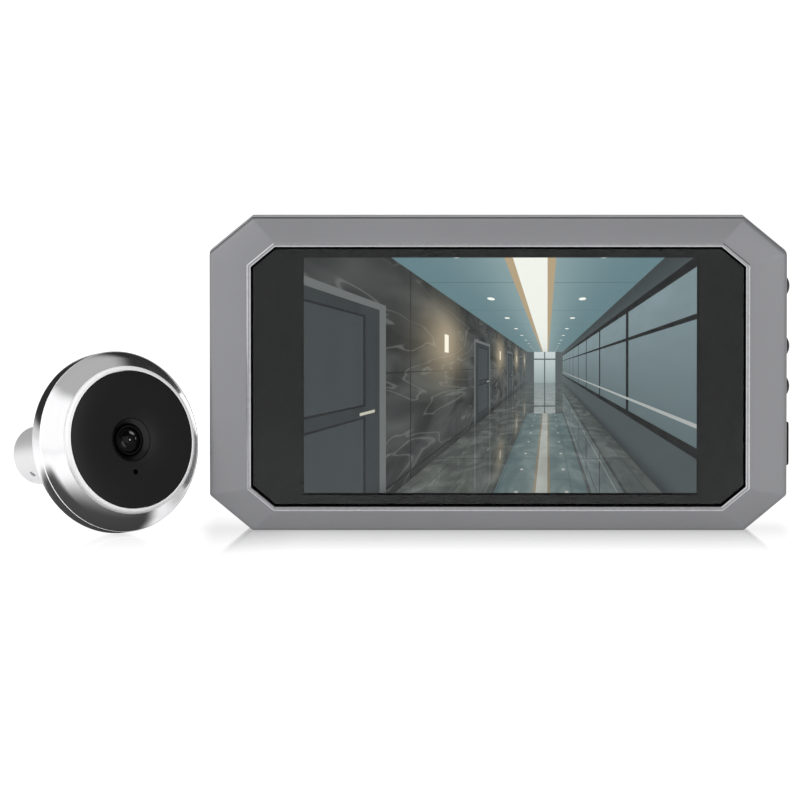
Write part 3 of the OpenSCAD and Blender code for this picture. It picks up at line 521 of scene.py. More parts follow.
    # Floor: polished stone tiles over the mirrored view
    floor_tile = 0.9
    floor_across = sight_x * to_floor
    fleck = grain(floor_across, to_floor, 2.2, 5.0, 1.2)
    floor = finish.ramp(fleck, (0.3, (0.06, 0.07, 0.064)), (0.5, (0.13, 0.145, 0.134)),
                        (0.7, (0.26, 0.28, 0.262)))
    seam = (floor_across + 0.3).repeat(floor_tile).below(0.014).most(to_floor.repeat(floor_tile).below(0.02))
    shine = (to_floor / far_end).least(1.0) * 0.35 + 0.36
    floor = layered(floor, (seam * 0.6, (0.02, 0.024, 0.022)), (shine, view))
    picture = layered(view, (on_floor, floor))
    contrast = wired(finish.tree, "ShaderNodeGamma", {"Color": picture, "Gamma": 1.25})
    return finish.set(emission_color=contrast.outputs[0]).material


finishes = {
    "bezel_metal": satin_paint(),
    "bright_edge": worked_metal("bright_cut_edge", (0.58, 0.58, 0.6), 0.25, (900, 900, 900)),
    "lip_band": worked_metal("satin_lip_band", (0.34, 0.34, 0.35), 0.42, (900, 900, 900)),
    # Black paint inside the bezel, also painted shade for the gap round the window
    "black_paint": moulded("black_inside_paint", (0.003, 0.003, 0.003), 0.7, gloss=0.1),
    # Painted shade for the groove at the housing's seam
    "seam": moulded("dark_seam", (0.035, 0.035, 0.036), 0.7, gloss=0.1),
    "window_sheet": clear_sheet(),
    "mask_print": moulded("black_print", (0.002, 0.002, 0.0022), cover_roughness, depth=0.0001 * MM,
                          gloss=cover_gloss),
    "window_rim": moulded("black_rim_print", (0.0008, 0.0008, 0.0008), 0.6, depth=0.0005 * MM, gloss=0.01),
    "foam": open_foam("black_foam", (0.02, 0.02, 0.021)),
    "screen": hallway_picture(),
    "screen_edge": moulded("screen_glass_edge", (0.002, 0.002, 0.0022), cover_roughness, depth=0.0001 * MM,
                           gloss=cover_gloss),
    "tray": worked_metal("tray_tin", (0.7, 0.71, 0.72), 0.35, (3000, 200, 200)),
    "flex_film": moulded("amber_film", (0.4, 0.16, 0.03), 0.35, 900.0, 0.003 * MM),
    "socket_plastic": moulded("ivory_plastic", (0.72, 0.68, 0.58), 0.45, 2500.0),
    "board": circuit_board(),
    "chip": moulded("chip_resin", (0.02, 0.021, 0.023), 0.55, 5000.0, 0.01 * MM),
    "socket_metal": worked_metal("socket_tin", (0.66, 0.67, 0.68), 0.3, (400, 400, 4000)),
    "screw": worked_metal("zinc_screw", (0.5, 0.51, 0.52), 0.34, (2500, 2500, 2500), depth=0.004 * MM),
    "key_plastic": moulded("key_black", (0.011, 0.011, 0.0115), 0.42, 2800.0, 0.004 * MM, gloss=0.12),
    "contact": worked_metal("gilt_contact", (0.83, 0.62, 0.24), 0.25, (3000, 3000, 300)),
    "battery_can": moulded("battery_wrap", (0.045, 0.12, 0.3), 0.32, 600.0, 0.004 * MM),
    "housing_plastic": moulded("housing_grey", (0.39, 0.392, 0.404), 0.5, 3200.0, 0.012 * MM, 0.05),
    "speaker_steel": worked_metal("speaker_frame_steel", (0.3, 0.3, 0.31), 0.4, (2000, 2000, 2000)),
    "magnet": worked_metal("magnet_ferrite", (0.12, 0.12, 0.125), 0.5, (2600, 2600, 2600), depth=0.008 * MM),
    "cone": moulded("speaker_paper", (0.012, 0.012, 0.012), 0.8, 1800.0, 0.02 * MM),
    "camera_chrome": worked_metal("satin_chrome", (0.83, 0.83, 0.84), 0.15, (90, 4500, 90), camera_place,
                                  0.0003 * MM, 0.018),
    "pearl_chrome": worked_metal("pearl_chrome", (0.96, 0.96, 0.96), 0.36, (90, 4500, 90), camera_place,
                                 0.0004 * MM, 0.02, 0.2),
    "face_plastic": moulded("black_face", (0.006, 0.006, 0.006), 0.2, 2600.0, 0.0008 * MM, gloss=0.16),
    "lens_plastic": moulded("lens_black", (0.0025, 0.0025, 0.0027), 0.5, 4200.0, 0.002 * MM, gloss=0.07),
    "hood_gloss": moulded("hood_black", (0.0015, 0.0015, 0.0016), 0.3, 4200.0, 0.0005 * MM, gloss=0.3),
    "lens_glass": lens_glass(),
    "rear_glass": moulded("smoked_rear_glass", (0.004, 0.003, 0.007), 0.3, 400.0, 0.0001 * MM, gloss=0.08),
    "sensor": moulded("sensor_silicon", (0.05, 0.06, 0.085), 0.15, 900.0, 0.001 * MM),
    "led": moulded("smoked_lamp_resin", (0.05, 0.03, 0.055), 0.12, 700.0, 0.001 * MM),
    "barrel_steel": worked_metal("turned_steel", (0.84, 0.84, 0.85), 0.4, (60, 9000, 60), camera_place,
                                 0.002 * MM, 0.06, 0.5),
}


# Shapes
both_sides = Vector((2, 2))


def linked(name, data):
    """A new object in the scene."""
    thing = bpy.data.objects.new(name, data)
    bpy.context.scene.collection.objects.link(thing)
    return thing


def fillet(points, radius, steps=5):
    """A closed outline with its corners rounded, by one radius or by one for each corner."""
    count = len(points)
    radii = radius if isinstance(radius, list) else [radius] * count
    outline = []
    for i in range(count):
        corner = Vector(points[i])
        back = Vector(points[i - 1]) - corner
        ahead = Vector(points[(i + 1) % count]) - corner
        half = back.angle(ahead) / 2
        r = min(radii[i], 0.45 * min(back.length, ahead.length) * math.tan(half))
        if r <= 0:
            outline.append(corner)
            continue
        back.normalize()
        ahead.normalize()
        centre = corner + (back + ahead).normalized() * (r / math.sin(half))
        first = corner + back * (r / math.tan(half)) - centre
        last = corner + ahead * (r / math.tan(half)) - centre
        turn = first.angle_signed(last)
        for k in range(steps + 1):
            t = -turn * k / steps
            outline.append(centre + Vector((first.x * math.cos(t) - first.y * math.sin(t),
                                            first.x * math.sin(t) + first.y * math.cos(t))))
    return outline


def cut_rectangle(middle, size, cut, radius):
    """A rectangle with its four corners cut off, and its eight edges rounded."""
    half = size / 2
    points = []
    for sx, sy in ((1, 1), (-1, 1), (-1, -1), (1, -1)):
        along = (sx * (half.x - cut.x), sy * half.y)
        upright = (sx * half.x, sy * (half.y - cut.y))
        points += [upright, along] if sx * sy > 0 else [along, upright]
    return [middle + p for p in fillet(points, radius)]


def shifted_cut(cut, inset):
    """The corner cut of an outline that is drawn in by inset on every side."""
    spare = cut.length - cut.x - cut.y
    return Vector((cut.x + inset * spare / cut.y, cut.y + inset * spare / cut.x))


def case_outline(inset, radius):
    return cut_rectangle(case_mid, case_size - both_sides * inset, shifted_cut(corner_cut, inset), radius)


def window_outline(grow, radius=0.25 * MM):
    size = window_size + both_sides * grow
    return cut_rectangle(window_mid, size, shifted_cut(window_cut, -grow), radius)


def at_depth(outline, y):
    """An outline in the plane of the screen, at one depth."""
    return [Vector((p.x, y, p.y)) for p in outline]


def loft(loops, ring=False, finish_rows=None):
    """A skin over loops of equal counts, capped or joined to a ring, its rows' finishes in finish_rows."""
    bm = bmesh.new()
    rows = [[bm.verts.new(p) for p in loop] for loop in loops]
    count = len(rows[0])
    for i in range(len(rows) if ring else len(rows) - 1):
        first = rows[i]
        second = rows[(i + 1) % len(rows)]
        for k in range(count):
            after = (k + 1) % count
            face = bm.faces.new((first[k], first[after], second[after], second[k]))
            face.material_index = finish_rows[i] if finish_rows else 0
    if not ring:
        bm.faces.new(rows[0])
        bm.faces.new(rows[-1])
    bmesh.ops.recalc_face_normals(bm, faces=bm.faces)
    return bm


def lathe(profile, place, segments=128):
    """A closed profile of (radius, distance) turned about a place's -Y axis."""
    bm = bmesh.new()
    rows = []
    for r, a in profile:
        if r < 1e-7:
            rows.append([bm.verts.new(place @ Vector((0, -a, 0)))])
            continue
        angles = [2 * math.pi * k / segments for k in range(segments)]
        rows.append([bm.verts.new(place @ Vector((r * math.cos(t), -a, r * math.sin(t)))) for t in angles])
    for i in range(len(rows)):
        first = rows[i]
        second = rows[(i + 1) % len(rows)]
        for k in range(segments):
            after = (k + 1) % segments
            corners = [first[k % len(first)], first[after % len(first)],
                       second[after % len(second)], second[k % len(second)]]
            corners = list(dict.fromkeys(corners))
            if len(corners) > 2:
                bm.faces.new(corners)
    bmesh.ops.recalc_face_normals(bm, faces=bm.faces)
    return bm


def cap(radius, height, top, steps):
    """Profile points of a round cap, from its middle to just short of its rim."""
    dome_r = (radius ** 2 + height ** 2) / (2 * height)
    turns = [math.asin(radius / dome_r) * k / steps for k in range(steps)]
    return [(dome_r * math.sin(t), top - dome_r * (1 - math.cos(t))) for t in turns]


def pin(place, radius, start, end, segments):
    """A straight round cutter along a place's -Y axis."""
    return lathe([(0, start), (radius, start), (radius, end), (0, end)], place, segments)


def as_mesh(bm, name):
    mesh = bpy.data.meshes.new(name)
    bm.to_mesh(mesh)
    bm.free()
    return mesh


def plane_of(face):
    """A key that the faces of one plane share."""
    return tuple(round(v, 2) for v in (*face.normal, face.normal.dot(face.center) / MM))


def add_piece(name, shape, body, node, slot, *looks, sharp=32.0, flat_above=1.0):
    """A finished piece, riding on a body in a node's stead: smooth but for its sharp edges, its flat caps and
    the planes of its faces larger than flat_above."""
    mesh = as_mesh(shape, name + "_skin") if isinstance(shape, bmesh.types.BMesh) else shape
    for look in looks or (slot,):
        mesh.materials.append(finishes[look])
    mesh.set_sharp_from_angle(angle=math.radians(sharp))
    broad = {plane_of(face) for face in mesh.polygons if face.area > flat_above}
    for face in mesh.polygons:
        face.use_smooth = len(face.vertices) < cap_sides and plane_of(face) not in broad
    piece = linked(name, mesh)
    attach(piece, body)
    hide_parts(node)
    return piece


def evaluated(mesh, set_up):
    """The plain mesh that modifiers make of a mesh. set_up adds them, and returns the helpers to remove."""
    holder = linked("holder", mesh)
    helpers = set_up(holder)
    graph = bpy.context.evaluated_depsgraph_get()
    result = bpy.data.meshes.new_from_object(holder.evaluated_get(graph))
    for thing in [holder, *helpers]:
        bpy.data.objects.remove(thing)
    return result


def carved(bm, cutter):
    """A shape with a cutter's shape taken out of it."""
    def set_up(holder):
        tool = linked("cutter", as_mesh(cutter, "cutter"))
        cut = holder.modifiers.new("cut", "BOOLEAN")
        cut.object = tool
        cut.operation = "DIFFERENCE"
        cut.solver = "EXACT"
        return [tool]
    return evaluated(as_mesh(bm, "carved"), set_up)


def welded(node):
    """A copy of a node's shape, its near points joined."""
    bm = bmesh.new()
    bm.from_mesh(frame["nodes"][node].data)
    bmesh.ops.remove_doubles(bm, verts=bm.verts, dist=weld)
    return bm


def softened(node, back, width, segments, shortest=0.0):
    """A copy of a node's shape, the sharp edges of its back rounded unless they are too short."""
    bm = welded(node)
    bmesh.ops.dissolve_limit(bm, angle_limit=math.radians(0.5), verts=bm.verts, edges=bm.edges)
    edges = [e for e in bm.edges if e.is_manifold and e.calc_face_angle(0) > math.radians(40)
             and min(v.co.y for v in e.verts) > back - 0.01 * MM and e.calc_length() > shortest]
    bmesh.ops.bevel(bm, geom=edges, offset=width, offset_type="OFFSET", segments=segments, profile=0.5,
                    affect="EDGES", clamp_overlap=True)
    return as_mesh(bm, node + "_soft")


# Monitor pieces
def front_bezel():
    """Sloping facets round the window, a rounded rim, a lip with bright cut edges and a black inside: black
    paint that is also painted shade for the gap round the window.
    """
    edge = 0.2 * MM
    rim_fall = 0.32 * MM
    corner_r = 1.2 * MM
    inner_r = 0.6 * MM
    crown = 0.12 * MM
    round_share = 0.16
    round_deep = 0.9 * MM
    steps = 8
    y_crest = y_front + lip_proud
    outer = case_outline(0, corner_r)
    crest = window_outline(window_gap + lip_width + 0.1 * MM, 0.5 * MM)

    def on_facet(share, y):
        return [Vector((a.x + (b.x - a.x) * share, y, a.y + (b.y - a.y) * share))
                for a, b in zip(outer, crest)]

    loops = [at_depth(case_outline(wall, inner_r), y_bezel_back),
             at_depth(case_outline(rim_fall + edge, 1.1 * MM), y_bezel_back)]
    for k in range(1, 4):
        t = math.radians(30 * k)
        loops.append(at_depth(case_outline(rim_fall + edge * (1 - math.sin(t)), corner_r),
                              y_bezel_back - edge * (1 - math.cos(t))))
    y_turn = y_rim + (y_crest - y_rim) * round_share
    for k in range(steps + 1):
        t = k / steps
        y = (1 - t) ** 2 * (y_rim + round_deep) + 2 * t * (1 - t) * y_rim + t * t * y_turn
        loops.append(on_facet(round_share * t * t, y))
    for k in range(1, steps + 1):
        share = round_share + (1 - round_share) * k / steps
        bow = crown * 4 * (k / steps) * (1 - k / steps)
        loops.append(on_facet(share, y_rim + (y_crest - y_rim) * share - bow))
    facet_rows = len(loops) - 1

    # The lip: a flat band between two bright cut edges, each point (distance from the window, depth) in mm
    lip = [(1.44, 0.29), (1.40, 0.24), (1.17, 0.02), (1.12, 0.0), (0.66, 0.0), (0.61, 0.02), (0.40, 0.22)]
    lip_rows = [0, 0, 1, 1, 2, 1, 1]
    for grow, drop in lip:
        loops.append(at_depth(window_outline(grow * MM, 0.3 * MM), y_front + drop * MM))
    opening_cut = Vector((0.3, 0.3)) * MM
    opening = cut_rectangle(lcd_mid, lit_size + both_sides * ledge_reveal, opening_cut, 0.1 * MM)
    inside = [at_depth(window_outline(window_gap), y_front + lip_proud),
              at_depth(window_outline(window_gap), y_ledge), at_depth(opening, y_ledge),
              at_depth(opening, y_pocket), at_depth(case_outline(wall, inner_r), y_pocket)]
    # The inside rows take black paint, which is also painted shade for the gap round the window
    rows = [0] * facet_rows + lip_rows + [3] * (len(inside) + 1)
    shape = loft(loops + inside, ring=True, finish_rows=rows)
    add_piece("bezel", shape, "monitor", "front_bezel", "bezel_metal", "bezel_metal", "bright_edge",
              "lip_band", "black_paint", sharp=28.0)


def front_window():
    """A clear sheet with an eased front edge, blacked round its rim."""
    ease = 0.06 * MM
    rim = 0.1 * MM
    steps = [(0, window_high.y - glass_gap), (0, window_low.y + ease),
             (-ease * 0.3, window_low.y + ease * 0.3), (-ease, window_low.y), (-rim, window_low.y)]
    shape = loft([at_depth(window_outline(grow), y) for grow, y in steps], finish_rows=[1] * 4)
    add_piece("window", shape, "monitor", "front_window", "window_sheet", "window_sheet", "window_rim")


def screen_glass():
    """The screen's glass: a lit field inside a black border."""
    cut = Vector((0.2, 0.2)) * MM
    small = 0.05 * MM
    whole = cut_rectangle(lcd_mid, lcd_size, cut, small)
    lit = cut_rectangle(lcd_mid, lit_size, cut / 8, small / 8)
    bm = loft([at_depth(whole, lcd_high.y), at_depth(whole, lcd_low.y), at_depth(lit, lcd_low.y)])
    front = max(bm.faces, key=lambda f: (len(f.verts), -f.calc_center_median().y))
    front.material_index = 1
    add_piece("screen", bm, "monitor", "lcd_glass", "screen", "screen_edge", "screen")


def round_key(name, node):
    """A domed key with a rolled rim, a flange behind the case wall and a stem."""
    low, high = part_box(node)
    middle = (low + high) / 2
    place = Matrix.Translation((0, middle.y, middle.z)) @ Matrix.Rotation(QUARTER, 4, "Z")
    flange_r_out = (high.z - low.z) / 2
    r = flange_r_out - key_lap
    side = high.x - round_key_proud
    flange = side - wall - key_gap
    flange_back = flange - key_flange_t
    rim = [(r - 0.04 * MM, side + 0.03 * MM), (r, side - 0.04 * MM)]
    body = [(r, flange), (flange_r_out, flange), (flange_r_out, flange_back), (key_stem_r, flange_back),
            (key_stem_r, low.x), (0, low.x)]
    shape = lathe(cap(r, round_key_proud, high.x, 10) + rim + body, place, 64)
    add_piece(name, shape, node.replace("_key", ""), node, "key_plastic")


def stadium(middle, length, width, x, steps=16):
    """A long outline with round ends, upright in the plane of the case's side."""
    r = width / 2
    points = []
    for end in (1, -1):
        for k in range(steps + 1):
            t = math.pi * k / steps
            points.append(Vector((x, middle.y + end * r * math.cos(t),
                                  middle.z + end * ((length - width) / 2 + r * math.sin(t)))))
    return points


def view_key():
    """The long key: a pillowed crown over a straight skirt, a flange and a stem."""
    low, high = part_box("view_key")
    middle = (low + high) / 2
    lap = 2 * key_lap
    length = high.z - low.z - lap
    width = high.y - low.y - lap
    flange = high.x - view_key_proud - wall - key_gap
    flange_back = flange - key_flange_t
    ease = 0.6 * MM
    skirt = [(lap, flange_back), (lap, flange), (0, flange)]
    for k in range(7):
        t = math.radians(15 * k)
        skirt.append((-1.6 * ease * (1 - math.cos(t)), high.x - ease * (1 - math.sin(t))))
    loops = [stadium(middle, 2 * key_stem_r + weld, 2 * key_stem_r, x) for x in (low.x, flange_back)]
    loops += [stadium(middle, length + grow, width + grow, x) for grow, x in skirt]
    add_piece("view_button", loft(loops), "view", "view_key", "key_plastic")


def rear_housing():
    """The back shell, its outer edges and the rims of its openings rounded, and its front faces in the seam
    painted dark, as painted shade of the groove.
    """
    mesh = softened("rear_housing", housing_high.y, 0.35 * MM, 3, 0.15 * MM)
    # Painted shade: the front faces at the seam take a dark finish in place of the groove's shade
    for face in mesh.polygons:
        if face.normal.y < -0.5 and face.center.y < y_bezel_back + MM:
            face.material_index = 1
    add_piece("housing", mesh, "monitor", "rear_housing", "housing_plastic", "housing_plastic", "seam",
              sharp=35.0, flat_above=flat_area)


def battery_cover():
    _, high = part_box("battery_cover")
    add_piece("battery_door", softened("battery_cover", high.y, 0.2 * MM, 2), "cover", "battery_cover",
              "housing_plastic", sharp=35.0, flat_above=flat_area)


# Camera pieces
def camera_housing():
    """Flange band, polished cone and rounded ring, turned in one, a hair inside the solid."""
    inside = 0.9975
    bore = spigot_r + screw_fit
    cone_foot = flange_r - 0.15 * MM
    ring_base = head_h - ring_h
    crest = head_h - 0.02 * MM
    ring_r = ring_hole_r + ring_w
    ring_flat = 0.08 * MM
    seat = face_back - tape_t
    steps = 12
    profile = [(bore, 0), (flange_r, 0), (flange_r, flange_t), (cone_foot, flange_t)]
    radii = [0, 0.3 * MM, 0.12 * MM, 0.06 * MM]
    cone_turn = Vector((ring_r + 2.0 * MM, ring_base - 2.2 * MM))
    cone_pull = cone_turn + Vector((0.9, -0.99)) * MM
    for k in range(1, steps + 1):
        t = k / steps
        foot = Vector((cone_foot, flange_t)) * (1 - t) ** 2
        profile.append(tuple(foot + cone_pull * 2 * t * (1 - t) + cone_turn * t * t))
    profile.append((ring_r, ring_base))
    radii += [0] * steps + [0.12 * MM]
    for k in range(1, steps + 1):
        t = math.radians(90 * k / steps)
        profile.append((ring_hole_r + ring_flat + (ring_w - ring_flat) * math.cos(t),
                        crest - (crest - ring_base) * (1 - math.sin(t))))
    profile += [(ring_hole_r, crest - 0.1 * MM), (ring_hole_r, seat), (chamber_r, seat), (chamber_r, rear_t),
                (bore, rear_t)]
    radii += [0] * steps + [0.05 * MM, 0, 0, 0, 0]
    bm = lathe([(r * inside, a) for r, a in fillet(profile, radii)], camera_place, 192)
    away = camera_place.inverted()
    for face in bm.faces:
        local = away @ face.calc_center_median()
        if -local.y > ring_base + 0.05 * MM and local.xz.length > ring_hole_r * inside:
            face.material_index = 1
    add_piece("camera_shell", bm, "camera", "camera_housing", "camera_chrome", "camera_chrome",
              "pearl_chrome", sharp=40.0)


def face_panel():
    """The black face: a flat disc with eased rims, a hole for the lens well and a pinhole."""
    profile = fillet([(well_r, face_back), (face_r, face_back), (face_r, face_front), (well_r, face_front)],
                     [0, 0.1 * MM, 0.1 * MM, 0.18 * MM])
    at_pinhole = camera_place @ Matrix.Translation((pinhole_at.x, 0, pinhole_at.y))
    drill = pin(at_pinhole, pinhole_r, face_back - MM, face_front + MM, 32)
    mesh = carved(lathe(profile, camera_place, 160), drill)
    add_piece("face", mesh, "camera", "face_panel", "face_plastic")


def lens_hood():
    """A smooth funnel round the lens."""
    out = well_r - screw_fit
    throat = lens_tube_r + screw_fit
    back = face_back - 0.8 * MM
    edge = 0.04 * MM
    profile = [(throat, back), (out + MM, back), (out + MM, face_back), (out, face_back),
               (out, face_front - edge), (out - edge, face_front), (out - 2 * edge, face_front - edge),
               (throat, lens_top - 0.5 * MM)]
    shape = lathe(profile, camera_place, 96)
    add_piece("lens_funnel", shape, "camera", "lens_hood", "lens_plastic", "hood_gloss")


def lens_tube():
    """The lens barrel: a thin tube with a rounded mouth and two seats inside."""
    inner = lens_r + screw_fit
    rear_r = lens_r - 0.7 * MM
    rear_bore = rear_r + screw_fit
    rear_seat = lens_seat - 1.6 * MM
    bottom = rear_seat - 0.3 * MM
    lip_r = rear_r - 0.4 * MM
    profile = [(lip_r, bottom), (lens_tube_r, bottom), (lens_tube_r, lens_top), (inner, lens_top),
               (inner, lens_seat), (rear_bore, lens_seat), (rear_bore, rear_seat), (lip_r, rear_seat)]
    radii = [0, 0.1 * MM, 0.15 * MM, 0.2 * MM, 0, 0, 0, 0]
    shape = lathe(fillet(profile, radii), camera_place, 96)
    add_piece("lens_tube", shape, "camera", "lens_barrel", "lens_plastic")


def front_lens():
    """A domed lens with a ground edge."""
    seat = lens_seat + glass_gap
    rim = lens_top - 0.6 * MM
    dome = 0.8 * MM
    profile = [(0, seat), (lens_r, seat), (lens_r, rim), *reversed(cap(lens_r, dome, rim + dome, 12))]
    add_piece("dome_lens", lathe(profile, camera_place, 96), "camera", "front_lens", "lens_glass", sharp=50.0)


def door_barrel():
    """A turned tube with eased ends and a cross hole."""
    ease = 0.4 * MM
    hole_r = 0.8 * MM
    hole_from_end = 5.8 * MM
    hole_angle = math.radians(223.5)
    profile = fillet([(bore_r, -barrel_len), (barrel_r - ease, -barrel_len), (barrel_r, ease - barrel_len),
                      (barrel_r, 0), (spigot_r, 0), (spigot_r, rear_t / 2), (bore_r, rear_t / 2)],
                     [0.2 * MM, ease / 2, ease / 2, 0, 0, 0, 0])
    place = (camera_place @ Matrix.Translation((0, barrel_len - hole_from_end, 0))
             @ Matrix.Rotation(hole_angle - QUARTER, 4, "Y").inverted() @ Matrix.Rotation(QUARTER, 4, "X"))
    mesh = carved(lathe(profile, camera_place), pin(place, hole_r, -barrel_r - MM, 0, 24))
    add_piece("barrel", mesh, "camera", "door_barrel", "barrel_steel")


def door_gasket():
    inner = 10 * MM
    outer = 20.2 * MM
    profile = fillet([(inner, -MM), (outer, -MM), (outer, 0), (inner, 0)], [0.2 * MM, 0.25 * MM, 0, 0])
    add_piece("gasket", lathe(profile, camera_place), "camera", "door_gasket", "foam")


# Screws: one tree of nodes makes every set, from its places and these sizes in millimetres
screw_sizes = ("Head Radius", "Head Height", "Shank Radius", "Recess Length", "Recess Width", "Length")


def screw_tree():
    """Pan-head screws with a crossed recess, one at each place, each turned at random about its own axis. The
    sizes are in millimetres, because the recess is cut more cleanly at that scale."""
    tree = bpy.data.node_groups.new("screw_set", "GeometryNodeTree")
    for name, kind in (("Places", "Geometry"), *((name, "Float") for name in screw_sizes), ("Seed", "Int")):
        tree.interface.new_socket(name, in_out="INPUT", socket_type="NodeSocket" + kind)
    tree.interface.new_socket("Screws", in_out="OUTPUT", socket_type="NodeSocketGeometry")
    given = tree.nodes.new("NodeGroupInput").outputs
    wide, tall, shank, slot_long, slot_wide, length = (Num(tree, given[name]) for name in screw_sizes)

    # A plain cylinder, one unit of height to each stretch of the profile, is drawn onto the profile
    profile = [(shank * 0.7, -length), (shank, -tall), (wide, -tall), (wide, tall * -0.45),
               (wide * 0.9, tall * -0.18), (wide * 0.55, tall * 0.0)]
    stretches = len(profile) - 1
    blank = wired(tree, "GeometryNodeMeshCone", {
        "Vertices": 40, "Side Segments": stretches, "Radius Bottom": 1.0, "Radius Top": 1.0,
        "Depth": float(stretches)})
    x, y, z = parts_of(tree, tree.nodes.new("GeometryNodeInputPosition").outputs[0])
    radius, height = profile[0]
    for k in range(stretches):
        share = (z - k).most(0.0).least(1.0)
        radius = radius + (profile[k + 1][0] - profile[k][0]) * share
        height = height + (profile[k + 1][1] - profile[k][1]) * share
    drawn = wired(tree, "ShaderNodeCombineXYZ", {"X": x * radius, "Y": y * radius, "Z": height}).outputs[0]
    turned = wired(tree, "GeometryNodeSetPosition", {"Geometry": blank.outputs["Mesh"], "Position": drawn})
    recess = wired(tree, "GeometryNodeMeshBoolean", {"Mesh 1": turned.outputs[0]}, operation="DIFFERENCE")
    for across, upright, depth in ((slot_long, slot_wide, 0.6), (slot_wide, slot_long, 0.58)):
        size = wired(tree, "ShaderNodeCombineXYZ", {"X": across, "Y": upright, "Z": tall * (2.0 * depth)})
        blade = wired(tree, "GeometryNodeMeshCube", {"Size": size.outputs[0]})
        fill(tree, recess, {"Mesh 2": blade.outputs["Mesh"]})

    turn = wired(tree, "FunctionNodeRandomValue", {3: math.tau, "Seed": given["Seed"]}, data_type="FLOAT")
    angle = wired(tree, "ShaderNodeCombineXYZ", {"Z": turn.outputs[1]})
    placed = wired(tree, "GeometryNodeInstanceOnPoints", {
        "Points": given["Places"], "Instance": recess.outputs["Mesh"], "Rotation": angle.outputs[0],
        "Scale": (MM, MM, MM)})
    real = wired(tree, "GeometryNodeRealizeInstances", {"Geometry": placed.outputs[0]})
    fill(tree, tree.nodes.new("NodeGroupOutput"), {"Screws": real.outputs[0]})
    return tree


screw_nodes = screw_tree()


def solid_middles(node):
    """The middle of each separate solid of a node, always in the same order."""
    bm = welded(node)
    left = set(bm.verts)
    middles = []
    while left:
        stack = [left.pop()]
        group = []
        while stack:
            vert = stack.pop()
            group.append(vert.co.copy())
            for edge in vert.link_edges:
                other = edge.other_vert(vert)
                if other in left:
                    left.remove(other)
                    stack.append(other)
        middles.append((Vector(map(min, *group)) + Vector(map(max, *group))) / 2)
    bm.free()
    return sorted(middles, key=tuple)


def screw_set(name, node, body, place, seed, length, *sizes):
    """Screws at a node's solids, their heads' tops at a place's z = 0 and facing its +Z."""
    inside = place.inverted()
    points = bpy.data.meshes.new(name + "_spots")
    points.from_pydata([(*(inside @ middle).xy, 0.0) for middle in solid_middles(node)], [], [])
    values = dict(zip(screw_sizes, (*sizes, length / MM)), Seed=seed)

    def set_up(holder):
        modifier = holder.modifiers.new("screws", "NODES")
        modifier.node_group = screw_nodes
        for item in screw_nodes.interface.items_tree:
            if item.name in values:
                modifier[item.identifier] = values[item.name]
        return []

    mesh = evaluated(points, set_up)
    mesh.materials.clear()
    mesh.transform(place)
    add_piece(name, mesh, body, node, "screw")


def back_facing_screws(name, node, seed, *sizes):
    """Screws of the monitor, whose heads face its back."""
    low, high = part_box(node)
    place = Matrix.Translation((0, high.y, 0)) @ Matrix.Rotation(-QUARTER, 4, "X")
    screw_set(name, node, "monitor", place, seed, high.y - low.y, *sizes)


def camera_screws():
    head_top = 4.4 * MM
    length = 3.2 * MM
    place = camera_place @ Matrix.Translation((0, -head_top, 0)) @ Matrix.Rotation(QUARTER, 4, "X")
    screw_set("camera_fixings", "camera_screws", "camera", place, 7, length, 1.5, 0.8, 0.7, 1.8, 0.35)


# Inner pieces keep their own shape, and take their finish
kept_nodes = {
    "mask_print": ("window_mask",), "tray": ("backlight_tray",), "flex_film": ("lcd_flex",),
    "foam": ("lcd_gasket", "lcd_cushions", "panel_tape", "microphone_boot"),
    "socket_plastic": ("lcd_socket", "ribbon_socket", "camera_socket"),
    "socket_metal": ("charging_socket", "card_socket", "microphone"),
    "board": ("main_board", "camera_board"), "chip": ("board_chips", "key_switches"),
    "contact": ("battery_contacts",), "battery_can": ("battery",), "speaker_steel": ("speaker_frame",),
    "magnet": ("speaker_magnet",), "cone": ("speaker_cone",), "rear_glass": ("rear_lens",),
    "lens_plastic": ("lens_holder",), "sensor": ("image_sensor",), "led": ("infrared_leds",),
}


def finish_kept_nodes():
    for slot, nodes in kept_nodes.items():
        for node in nodes:
            mesh = frame["nodes"][node].data
            mesh.materials.clear()
            mesh.materials.append(finishes[slot])


